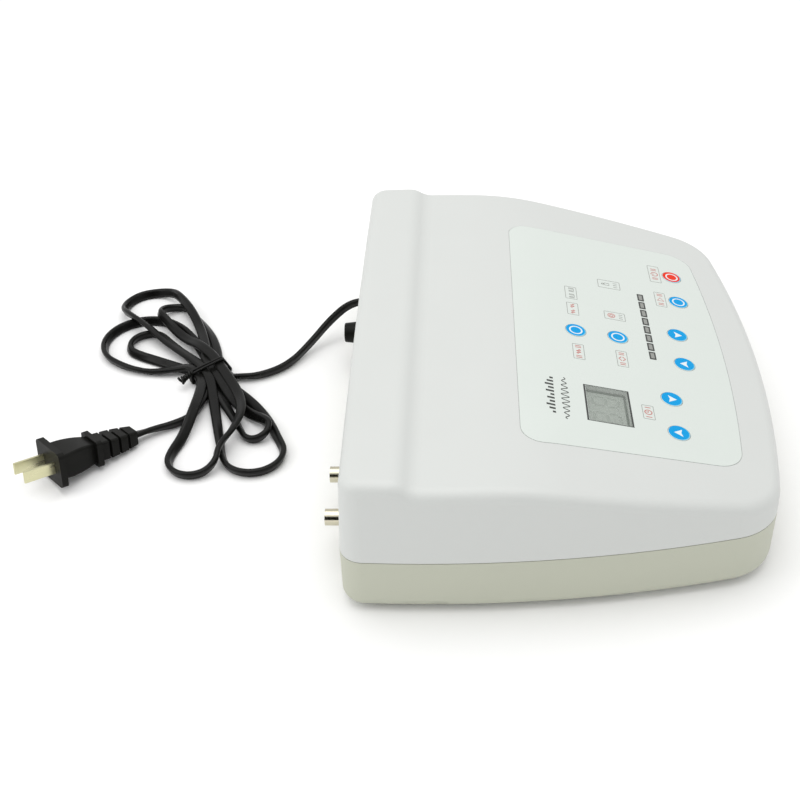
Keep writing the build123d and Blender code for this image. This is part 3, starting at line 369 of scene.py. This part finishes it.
END_SWEEP = 105.0           # degrees each side of the loop's axis that its round end covers
FLAT, ON_EDGE = 8.0, 68.0   # the cord's tilt, in degrees, where it is tied and at a loop's far end
SPAN_SAMPLES = 6            # samples of the spline between two control points, to find crossings
SAME_STRETCH = 24           # samples of one stretch, which can't cross each other
HUMP_SLOPE = 0.3            # steepest climb of a strand over another
HUMP_WIDE = 0.85            # how much of its width a strand rests on at a crossing
HUMP_HIGH = 0.97            # how much of its height it keeps there
SETTLE_ROUNDS = 160
SETTLE_STEP = 0.6           # part of what a crossing lacks that one round lifts
SETTLED = 0.05              # how far strands may still sink into each other
WIRE_R = 0.8
WIRE_SHIFT = 0.85           # each of the wire's two turns lies so far to its side at the bundle's right
WIRE_LEAN = 0.5             # and by this part more at its left
TIE_WIDE = 3.0              # half of the stretch that the wire presses on
TIE_REACH = 20.0            # strands farther than this from the bundle's middle aren't tied
TIE_STEP = 0.8              # between the wire's points
TIE_TOP_BIAS = 0.35         # the twisted end starts at the top of the bundle, towards its left side
TWIST_WAY = (-0.30, 0.90, -0.12)             # its direction: along the bundle, across it and up
TWIST_LONG = 9.5
TWIST_TURNS = 2.6
TWIST_R = 1.1
TWIST_POINTS = 37
TWIST_OPENS = 0.7           # the part of its length after which the two ends spread
TWIST_SPREAD = 3.0


def half_height(tilt):
    """Half of the cord's height when its width is tilted by that many degrees."""
    turn = math.radians(tilt)
    return 0.5 * math.hypot(CORD_W * math.sin(turn), CORD_H * math.cos(turn))


def half_width(tilt):
    turn = math.radians(tilt)
    return 0.5 * math.hypot(CORD_W * math.cos(turn), CORD_H * math.sin(turn))


def tie_point(across, along):
    """A point of the bundle, from its place across and along the tied stretch."""
    turn = math.radians(TIE_TURN)
    ahead = Vector((math.cos(turn), math.sin(turn)))
    aside = Vector((-ahead.y, ahead.x))
    return Vector(TIE) + ahead * along + aside * across


def loop_points(loop, start, end, start_layer, end_layer):
    """One loop, from start at the tie round its far end and back to end, as hank_points lists it."""
    middle = Vector(loop["middle"])
    axis = (middle - Vector(TIE)).normalized()
    left = Vector((-axis.y, axis.x))
    arc = []
    for i in range(END_POINTS):
        part = i / (END_POINTS - 1)
        turn = math.radians(loop["turn"] * END_SWEEP * (2 * part - 1))
        place = middle + loop["radius"] * (math.cos(turn) * axis + math.sin(turn) * left)
        arc.append((place, start_layer + (end_layer - start_layer) * part, ON_EDGE))
    legs = []
    for a, b, bow, way, layer, rising in (
            (start, arc[0][0], loop["bows"][0], -loop["turn"], start_layer, True),
            (arc[-1][0], end, loop["bows"][1], loop["turn"], end_layer, False)):
        leg = []
        for i in range(1, LEG_POINTS):
            part = i / LEG_POINTS
            place = a.lerp(b, part) + left * way * bow * math.sin(math.pi * part)
            out = part if rising else 1 - part
            leg.append((place, layer, FLAT + (ON_EDGE - FLAT) * out ** 1.5))
        legs.append(leg)
    return legs[0] + arc + legs[1]


def hank_points():
    """Control points of the tied loops: plan place, layer and tilt."""
    points = []
    heading = 1                                    # the lead crosses the tie towards the rear lobe
    across, layer = LEAD_ACROSS, 0.0
    for loop in LOOPS:
        for along in (-TIE_HALF, 0, TIE_HALF):
            points.append((tie_point(across, heading * along), layer, FLAT))
        start, end = tie_point(across, heading * TIE_HALF), tie_point(loop["across"], heading * TIE_HALF)
        points += loop_points(loop, start, end, layer, loop["layer"])
        across, layer = loop["across"], loop["layer"]
        heading = -heading
    for along in (-TIE_HALF, 0, TIE_HALF):
        points.append((tie_point(across, heading * along), layer, FLAT))
    return points


def spline_weights(count, per_span):
    """Rows of control point weights of a uniform quadratic spline, per_span samples for each corner."""
    rows = []
    for i in range(1, count - 1):
        for k in range(per_span):
            t = k / per_span
            row = np.zeros(count)
            row[i - 1], row[i], row[i + 1] = 0.5 * (1 - t) ** 2, 0.5 + t * (1 - t), 0.5 * t * t
            rows.append(row)
    return np.array(rows)


def settle(plan, layers, tilts, heights, free):
    """Lifts the free points until strands that cross lie on each other, the higher layer on top."""
    weights = spline_weights(len(plan), SPAN_SAMPLES)
    xy, rank = weights @ plan, weights @ layers
    high = weights @ np.array([half_height(t) for t in tilts])
    wide = weights @ np.array([half_width(t) for t in tilts])
    z = np.array(heights, float)
    apart = np.linalg.norm(xy[:, None] - xy[None], axis=2)
    room = HUMP_WIDE * (wide[:, None] + wide[None])
    index = np.arange(len(xy))
    other_stretch = np.abs(index[:, None] - index[None]) > SAME_STRETCH
    near = (apart < room) & other_stretch & (rank[:, None] > rank[None])
    need = HUMP_HIGH * (high[:, None] + high[None]) * np.sqrt(np.clip(1 - (apart / room) ** 2, 0, 1))
    for _ in range(SETTLE_ROUNDS):
        level = weights @ z
        short = np.where(near, need - (level[:, None] - level[None]), 0.0).max(axis=1)
        push = np.clip(short, 0, None)
        if push.max() < SETTLED:
            break
        lift = (weights * push[:, None]).max(axis=0) * SETTLE_STEP
        z += np.where(free, lift, 0.0)
        for order in (range(1, len(z)), range(len(z) - 2, -1, -1)):      # a hump rises and falls gently
            back = -1 if order.step == 1 else 1
            for i in order:
                if free[i]:
                    z[i] = max(z[i], z[i + back] - HUMP_SLOPE * math.dist(plan[i], plan[i + back]))
    return z


def cord_spline():
    """The whole cord as one NURBS curve; returns its points and the tilt at each."""
    hank = hank_points()
    plan = [p[:2] for p in LEAD_ROUTE] + [tuple(p[0]) for p in hank] + [p[:2] for p in TAIL_ROUTE]
    layers = [0.0] * len(LEAD_ROUTE) + [float(p[1]) for p in hank] + [0.0] * len(TAIL_ROUTE)
    tilts = LEAD_TILTS + [p[2] for p in hank] + TAIL_TILTS
    heights = [p[2] for p in LEAD_ROUTE] + [half_height(p[2]) for p in hank] + [p[2] for p in TAIL_ROUTE]
    free = [False] * (len(LEAD_ROUTE) - 1) + [True] * (len(hank) + 2) + [False] * (len(TAIL_ROUTE) - 1)
    z = settle(np.array(plan), np.array(layers), tilts, heights, np.array(free))
    curve = bpy.data.curves.new("cord_line", "CURVE")
    curve.dimensions = "3D"
    curve.resolution_u = 8
    spline = curve.splines.new("NURBS")
    spline.points.add(len(plan) - 1)
    for point, (x, y), height in zip(spline.points, plan, z):
        point.co = (x * MM, y * MM, height * MM, 1.0)
    spline.order_u = 3
    spline.use_endpoint_u = True
    line = bpy.data.objects.new("cord_line", curve)
    mesh = bpy.data.meshes.new_from_object(line)
    path = [v.co.copy() for v in mesh.vertices]
    bpy.data.objects.remove(line)
    knots = [0.0] + [i - 0.5 for i in range(1, len(plan) - 1)] + [len(plan) - 2.0]
    at = np.linspace(0.0, len(plan) - 2.0, len(path))
    return path, np.interp(at, knots, tilts)


def cord_section():
    """Outline of the twin cord: a flat sleeve with rounded edges and a shallow groove along both faces."""
    points = []
    for i in range(SECTION_POINTS):
        turn = 2 * math.pi * i / SECTION_POINTS
        x = 0.5 * CORD_W * math.copysign(abs(math.cos(turn)) ** EDGE_POWER, math.cos(turn))
        y = 0.5 * CORD_H * math.copysign(abs(math.sin(turn)) ** FACE_POWER, math.sin(turn))
        groove = GROOVE_DEEP * math.exp(-(x / GROOVE_WIDE) ** 2)
        points.append((x, y - math.copysign(min(groove, abs(y)), y)))
    return points


def power_cord():
    """The cord as one mesh; returns it with the points and outlines along it."""
    path, tilts = cord_spline()
    section = cord_section()
    bm = bmesh.new()
    rings = []
    for i, centre in enumerate(path):
        ahead = (path[min(i + 1, len(path) - 1)] - path[max(i - 1, 0)]).normalized()
        side = Vector((0, 0, 1)).cross(ahead).normalized()
        up = ahead.cross(side)
        turn = math.radians(float(tilts[i]))
        wide = side * math.cos(turn) + up * math.sin(turn)
        thick = up * math.cos(turn) - side * math.sin(turn)
        rings.append([centre + (wide * x + thick * y) * MM for x, y in section])
    skin(bm, rings)
    cord = piece("power_cord", bm, finishes["cord_pvc"], "casing", smooth=50)
    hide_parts("power_cord_lead", "power_cord_hank", "power_cord_tail")
    return cord, path, rings


def tie_hull(rings, middle, ahead, aside):
    """Where a wire pulled tight round the tied strands runs: its points across and up, in millimetres."""
    spots = []
    for ring in rings:
        centre = sum(ring, Vector()) / len(ring) - middle
        if abs(centre.dot(ahead)) < TIE_WIDE * MM and abs(centre.dot(aside)) < TIE_REACH * MM:
            for point in ring:
                for i in range(8):                 # the wire's middle is its radius away
                    turn = 2 * math.pi * i / 8
                    spots.append(((point - middle).dot(aside) / MM + WIRE_R * math.cos(turn),
                                  point.z / MM + WIRE_R * math.sin(turn)))
    hull = [Vector(spots[i]) for i in convex_hull_2d(spots)]
    dense = []
    for a, b in zip(hull, hull[1:] + hull[:1]):
        steps = max(1, round((b - a).length / TIE_STEP))
        dense += [a.lerp(b, i / steps) for i in range(steps)]
    return [(p.x, max(p.y, WIRE_R)) for p in dense]


def cord_tie(rings):
    """Coated wire pulled tight round the bundle, its two ends twisted together and pointing to the left."""
    turn = math.radians(TIE_TURN)
    ahead = Vector((math.cos(turn), math.sin(turn), 0))
    aside = Vector((-ahead.y, ahead.x, 0))
    middle = mm(*TIE, 0)
    hull = tie_hull(rings, middle, ahead, aside)
    low, high = min(across for across, _ in hull), max(across for across, _ in hull)
    bm = bmesh.new()
    for shift in (-WIRE_SHIFT, WIRE_SHIFT):        # the wire goes round twice
        ring = []
        for across, up in hull:
            along = shift * (1 + WIRE_LEAN * (across - low) / (high - low))
            ring.append(middle + (ahead * along + aside * across) * MM + Vector((0, 0, up * MM)))
        tube(bm, ring, WIRE_R, closed=True)
    across, up = max(hull, key=lambda spot: spot[0] * TIE_TOP_BIAS + spot[1])
    root = middle + aside * across * MM + Vector((0, 0, up * MM))
    out = (ahead * TWIST_WAY[0] + aside * TWIST_WAY[1] + Vector((0, 0, TWIST_WAY[2]))).normalized()
    level = out.cross(Vector((0, 0, 1))).normalized()
    rise = level.cross(out)
    for phase in (0.0, math.pi):
        strand = []
        for i in range(TWIST_POINTS):
            part = i / (TWIST_POINTS - 1)
            swell = 1.0 + TWIST_SPREAD * max(0.0, part - TWIST_OPENS)
            angle = phase + 2 * math.pi * TWIST_TURNS * part
            offset = level * math.cos(angle) + rise * math.sin(angle)
            strand.append(root + (out * TWIST_LONG * part + offset * TWIST_R * swell) * MM)
        tube(bm, strand, WIRE_R)
    wire = piece("twist_tie", bm, finishes["cord_pvc"], "casing", smooth=60)
    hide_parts("cord_tie")
    return wire


# ---------------------------------------------------------------- printed keypad
PRINT_UP = 0.05             # how far ink stands above what it is printed on
PRINT_DOWN = 0.03           # and reaches below its surface
INK_STEP = 0.02             # how much higher the next ink stands on the one under it
LINE_W = 0.26               # outlines of the boxes
PICTURE_W = 0.5             # lines of the pictures in the label boxes, and their bars
ICON_W = 0.42               # lines of the pictures in the icon boxes
SCALE_W = 0.4               # marks of the short scale in a tall icon box
BOX_ROUND = 0.4
BOX_MARGIN = 0.8
LABEL_FILL, ICON_FILL = 0.62, 0.42           # size of a picture by its box's height, or by its shorter side
ICON_MORE = 0.8             # and what an icon's picture has besides
TALL_LEVEL = 0.66           # where the picture stands in a tall box, by its height
BAR_GAP, BAR_STEP = 0.9, 1.35                # bars beside a label's picture
BAR_FOOT, BAR_TOP = 0.24, 0.76               # by the box's height
SCALE_FOOT, SCALE_TOP = 0.12, 0.3
SLOPE_COS = -Vector(frame["joints"][0]["axis"]).z      # the keys press at right angles to the slope
KEY_EDGE = 0.2              # bare rim of a key round its coloured disc
DISC_POINTS, RING_POINTS = 56, 48
PALE_W = 0.25               # half of the width of the pale crescent at one side of a key's disc
PALE_TURN = 45.0            # degrees from +X to the side without it
RING_R, RING_W = 0.61, 0.15                  # a key's white ring, by its disc's radius
TRIANGLE = [(2.6, 0.0), (-1.7, 2.7), (-1.0, 0.0), (-1.7, -2.7)]        # corners of an arrow key's mark
BARS_AT, BARS_STEP = (-76.3, -0.4), 2.72     # the row of slanted bars: its left end, and how far apart
BARS_WIDE, BARS_HIGH, BARS_SLANT = 1.35, 4.2, 0.5
BAR_HEIGHTS = (0.35, 0.7, 1.0, 0.6, 0.85, 0.45, 0.95, 0.65, 1.0, 0.75, 0.4)
WAVE_AT, WAVE_LONG, WAVE_HIGH = (-79.5, -5.7), 33.0, 1.9               # the fine wave under the bars
WAVE_TURNS, WAVE_POINTS = 9, 121
WAVE_ENDS = 0.35            # its height at its ends, by that in its middle
LEVELS = 8
LEVEL_AT, LEVEL_STEP = (41.6, -54.3), 7.9    # middle of the last bar-graph window, and how far apart
LEVEL_WINDOW = (6.8, 3.5, 0.3)               # width, height and corner radius
LEVEL_FIELD = (4.6, 1.9, 0.2)
WINDOW_OUT = 0.1            # from the pane to the line printed round it
WINDOW_SIDE, WINDOW_END = 0.4, 0.9           # width of that line at the sides, and at rear and front
INKS = {
    "ink_blue": dict(colour=(0.0, 0.31, 0.68), rough=0.5, specular=0.12, mottle=0.02),
    "ink_pale": dict(colour=(0.14, 0.50, 0.72), rough=0.5, specular=0.2, mottle=0.02),
    "ink_red": dict(colour=(0.74, 0.036, 0.012), rough=0.5, specular=0.12, mottle=0.02),
    "ink_white": dict(colour=(0.72, 0.78, 0.80), rough=0.4, mottle=0.01),
    "ink_dark": dict(colour=(0.035, 0.038, 0.035), rough=0.45, mottle=0.05),
    "ink_grey": dict(colour=(0.27, 0.28, 0.26), rough=0.45, mottle=0.05),
    "ink_rose": dict(colour=(0.50, 0.16, 0.14), rough=0.45, mottle=0.05),
}
# Degrees from +X to where an arrow key points; the other keys have a ring.
KEY_TURN = {"key_output_down": -90, "key_output_up": 90, "key_time_down": -90, "key_time_up": 90}
LABEL_BOXES = [             # x, y of the lower left corner, width, height and what it shows
    (61.6, -68.7, 17.1, 6.3, "power"),
    (36.5, -68.7, 14.0, 5.9, "start"),
    (-28.0, -18.1, 13.0, 5.7, "mode"),
    (-28.1, -40.4, 13.5, 5.5, "select"),
    (-68.7, -48.9, 10.7, 5.6, "time"),
]
ICON_BOXES = [              # the same, with the picture's ink
    (28.0, -18.2, 12.0, 6.2, "pulses", "ink_grey"),
    (12.5, -18.0, 11.3, 6.0, "waves", "ink_rose"),
    (45.7, -43.5, 7.8, 12.2, "head", "ink_grey"),
    (14.5, -43.2, 7.1, 11.1, "rings", "ink_rose"),
]


def surface_of(node):
    """Height, in millimetres, of the highest point of a node's surface at x, y."""
    mesh = nodes[node].data
    tree = BVHTree.FromPolygons([v.co for v in mesh.vertices], [tuple(f.vertices) for f in mesh.polygons])

    def height(x, y):
        place = tree.ray_cast(mm(x, y, 200.0), Vector((0, 0, -1)))[0]
        if place is None:                          # over an opening: the nearest edge
            place = tree.find_nearest(mm(x, y, 60.0))[0]
        return place.z / MM
    return height


def key_face(node):
    """A key's flat top: the plan y of its middle, and its height at x, y, both in millimetres."""
    normal = -next(Vector(j["axis"]) for j in frame["joints"] if j["child"] == node)
    places = [v.co for v in nodes[node].data.vertices]
    level = max(place.dot(normal) for place in places)
    top = [place.y for place in places if place.dot(normal) > level - 0.01 * MM]
    middle_y = (min(top) + max(top)) / 2 / MM
    return middle_y, lambda x, y: (level / MM - normal.x * x - normal.y * y) / normal.z


def slab(bm, surface, outline, lift=0.0):
    """A thin printed shape with that outline."""
    top = [bm.verts.new(mm(x, y, surface(x, y) + PRINT_UP + lift)) for x, y in outline]
    low = [bm.verts.new(mm(x, y, surface(x, y) - PRINT_DOWN)) for x, y in outline]
    bm.faces.new(top)
    bm.faces.new(list(reversed(low)))
    for i in range(len(top)):
        j = (i + 1) % len(top)
        bm.faces.new((top[j], top[i], low[i], low[j]))


def stroke(bm, surface, points, width, closed=False, lift=0.0):
    """A thin printed line along points."""
    count = len(points)
    rings = []
    for i, (x, y) in enumerate(points):
        before = points[i - 1] if closed or i else points[0]
        after = points[(i + 1) % count] if closed or i < count - 1 else points[-1]
        ahead = Vector((after[0] - before[0], after[1] - before[1])).normalized()
        side = Vector((-ahead.y, ahead.x)) * width / 2
        left, right = (x + side.x, y + side.y), (x - side.x, y - side.y)
        z_left, z_right = surface(*left), surface(*right)
        rings.append([mm(*left, z_left + PRINT_UP + lift), mm(*right, z_right + PRINT_UP + lift),
                      mm(*right, z_right - PRINT_DOWN), mm(*left, z_left - PRINT_DOWN)])
    skin(bm, rings, closed)


def circle(x, y, radius, count, squeeze=1.0):
    """Points of a circle, squeezed in y when it is drawn on the slope."""
    turns = [2 * math.pi * i / count for i in range(count)]
    return [(x + radius * math.cos(t), y + squeeze * radius * math.sin(t)) for t in turns]


def rounded_box(x, y, w, h, r, corner_points=5):
    """Outline of a box with round corners, from its lower left corner and its size."""
    points = []
    left, right, low, high = x + r, x + w - r, y + r, y + h - r
    for cx, cy, start in ((right, low, -90), (right, high, 0), (left, high, 90), (left, low, 180)):
        for i in range(corner_points):
            turn = math.radians(start + 90 * i / (corner_points - 1))
            points.append((cx + r * math.cos(turn), cy + r * math.sin(turn)))
    return points


def pictogram(kind, x, y, size):
    """Strokes (points, closed) of a small generic picture about x, y."""
    half = size / 2
    if kind == "power":                            # a ring open at the top, with a short line
        turns = [math.radians(a) for a in range(40, 321, 20)]
        ring = [(x + half * math.sin(t), y + half * math.cos(t)) for t in turns]
        return [(ring, False), ([(x, y), (x, y + half * 1.15)], False)]
    if kind == "start":                            # a triangle
        return [([(x - half * 0.7, y - half), (x + half, y), (x - half * 0.7, y + half)], True)]
    if kind == "time":                             # a clock
        return [(circle(x, y, half, 16), True), ([(x, y + half * 0.65), (x, y), (x + half * 0.5, y)], False)]
    if kind == "select":                           # a peak over a dip
        return [([(x - half, y + half * 0.2), (x, y + half), (x + half, y + half * 0.2)], False),
                ([(x - half, y - half * 0.2), (x, y - half), (x + half, y - half * 0.2)], False)]
    if kind == "head":                             # a probe with its round face
        left, right, low, high = x - half * 0.5, x + half * 0.5, y - half, y + half * 0.3
        handle = [(left, low), (left, high), (right, high), (right, low)]
        return [(handle, True), (circle(x, y + half * 0.75, half * 0.3, 12), True)]
    if kind == "rings":                            # two rings
        return [(circle(x, y, half, 20), True), (circle(x, y, half * 0.5, 14), True)]
    if kind == "pulses":                           # two square pulses
        low, high, step = y - half, y + half * 0.6, size / 4
        return [([(x - half, low), (x - half, high), (x - half + step, high), (x - half + step, low),
                  (x + half - step, low), (x + half - step, high), (x + half, high), (x + half, low)], False)]
    wave = [(x - half + size * i / 16, y + half * 0.6 * math.sin(4 * math.pi * i / 16)) for i in range(17)]
    return [(wave, False)]                         # a wave of two turns


def print_boxes(film):
    """Label and icon boxes with their pictures, in two inks."""
    lines, rose, grey = bmesh.new(), bmesh.new(), bmesh.new()
    marks = {"ink_rose": rose, "ink_grey": grey}
    for x, y, w, h, kind in LABEL_BOXES:
        stroke(lines, film, rounded_box(x, y, w, h, BOX_ROUND), LINE_W, closed=True)
        middle = x + w / 2
        for points, closed in pictogram(kind, middle, y + h / 2, LABEL_FILL * h):
            stroke(rose, film, points, PICTURE_W, closed)
        for side in (-1, 1):                       # bars beside the picture, as many as the box has room for
            for k in range(2):
                bar = middle + side * (0.5 * h + BAR_GAP + BAR_STEP * k)
                if abs(bar - middle) < w / 2 - BOX_MARGIN:
                    stroke(rose, film, [(bar, y + BAR_FOOT * h), (bar, y + BAR_TOP * h)], PICTURE_W)
    for x, y, w, h, kind, ink in ICON_BOXES:
        stroke(lines, film, rounded_box(x, y, w, h, BOX_ROUND), LINE_W, closed=True)
        count, level = (2, 0.5) if w > h else (1, TALL_LEVEL)
        for k in range(count):
            place = x + w * (k + 0.5) / count
            for points, closed in pictogram(kind, place, y + h * level, ICON_FILL * min(w, h) + ICON_MORE):
                stroke(marks[ink], film, points, ICON_W, closed)
        if w < h:                                  # a short scale under the picture of a tall box
            for k in range(3):
                place = x + w * (k + 1) / 4
                stroke(grey, film, [(place, y + SCALE_FOOT * h), (place, y + SCALE_TOP * h)], SCALE_W)
    piece("label_boxes", lines, inks["ink_grey"], "casing", smooth=0)
    piece("label_pictures", rose, inks["ink_rose"], "casing", smooth=0)
    piece("icon_pictures", grey, inks["ink_grey"], "casing", smooth=0)


def print_marks(film):
    """Generic marks where a name would stand: a row of level bars and a fine sound wave."""
    bars = bmesh.new()
    for i, height in enumerate(BAR_HEIGHTS):
        x, foot = BARS_AT[0] + BARS_STEP * i, BARS_AT[1]
        top, slant = foot + BARS_HIGH * height, BARS_SLANT * height
        slab(bars, film, [(x, foot), (x + BARS_WIDE, foot), (x + BARS_WIDE + slant, top), (x + slant, top)])
    piece("mark_bars", bars, inks["ink_dark"], "casing", smooth=0)
    wave = bmesh.new()
    points = []
    for i in range(WAVE_POINTS):
        part = i / (WAVE_POINTS - 1)
        swell = WAVE_HIGH * (WAVE_ENDS + (1 - WAVE_ENDS) * math.sin(math.pi * part))
        points.append((WAVE_AT[0] + WAVE_LONG * part,
                       WAVE_AT[1] + swell * math.sin(2 * math.pi * WAVE_TURNS * part)))
    stroke(wave, film, points, PICTURE_W)
    piece("mark_wave", wave, inks["ink_dark"], "casing", smooth=0)


def print_key(node):
    """A key's coloured disc with a pale edge and a white ring or triangle, which move with the key."""
    low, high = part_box(node)
    x = (low.x + high.x) / 2 / MM
    y, face = key_face(node)
    radius = (high.x - low.x) / 2 / MM - KEY_EDGE
    pale = bmesh.new()
    slab(pale, face, circle(x, y, radius, DISC_POINTS, SLOPE_COS))
    piece(node + "_edge", pale, inks["ink_pale"], node, smooth=0)
    aside = math.radians(PALE_TURN)
    disc = bmesh.new()
    slab(disc, face, circle(x + PALE_W * math.cos(aside), y + PALE_W * math.sin(aside) * SLOPE_COS,
                            radius - PALE_W, DISC_POINTS, SLOPE_COS), lift=INK_STEP)
    ink = inks["ink_red" if node == "key_power" else "ink_blue"]
    piece(node + "_disc", disc, ink, node, smooth=0)
    mark = bmesh.new()
    if node in KEY_TURN:
        turn = math.radians(KEY_TURN[node])
        corners = []
        for forward, side in TRIANGLE:
            px = forward * math.cos(turn) - side * math.sin(turn)
            py = forward * math.sin(turn) + side * math.cos(turn)
            corners.append((x + px, y + py * SLOPE_COS))
        slab(mark, face, corners, lift=2 * INK_STEP)
    else:
        ring = circle(x, y, RING_R * radius, RING_POINTS, SLOPE_COS)
        stroke(mark, face, ring, RING_W * radius, closed=True, lift=2 * INK_STEP)
    piece(node + "_mark", mark, inks["ink_white"], node, smooth=0)


def print_bargraph(film):
    """Eight dark windows over the level lamps, each with a paler field."""
    dark, pale = bmesh.new(), bmesh.new()
    for i in range(LEVELS):
        x, y = LEVEL_AT[0] - LEVEL_STEP * i, LEVEL_AT[1]
        for bm, (w, h, corner), lift in ((dark, LEVEL_WINDOW, 0.0), (pale, LEVEL_FIELD, INK_STEP)):
            slab(bm, film, rounded_box(x - w / 2, y - h / 2, w, h, corner, corner_points=3), lift)
    piece("level_windows", dark, inks["ink_dark"], "casing", smooth=0)
    piece("level_fields", pale, inks["ink_grey"], "casing", smooth=0)


def print_window_edge(film):
    """Dark line printed round the display window, wider at its rear and front."""
    low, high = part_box("display_window")
    x0, y0 = low.x / MM - WINDOW_OUT, low.y / MM - WINDOW_OUT
    x1, y1 = high.x / MM + WINDOW_OUT, high.y / MM + WINDOW_OUT
    left, right = x0 - WINDOW_SIDE, x1 + WINDOW_SIDE
    edge = bmesh.new()
    for ax, ay, bx, by in ((left, y0 - WINDOW_END, right, y0), (left, y1, right, y1 + WINDOW_END),
                           (left, y0, x0, y1), (x1, y0, right, y1)):
        slab(edge, film, [(ax, ay), (bx, ay), (bx, by), (ax, by)])
    piece("window_line", edge, inks["ink_dark"], "casing", smooth=0)


def print_keypad():
    film = surface_of("keypad_film")
    print_boxes(film)
    print_marks(film)
    print_bargraph(film)
    print_window_edge(film)
    for node in nodes:
        if node.startswith("key_"):
            print_key(node)


add_camera()
add_studio()
finishes = dress_cad()
inks = {name: finish(name, **values) for name, values in INKS.items()}
cord, cord_path, cord_rings = power_cord()
tie = cord_tie(cord_rings)
print_keypad()
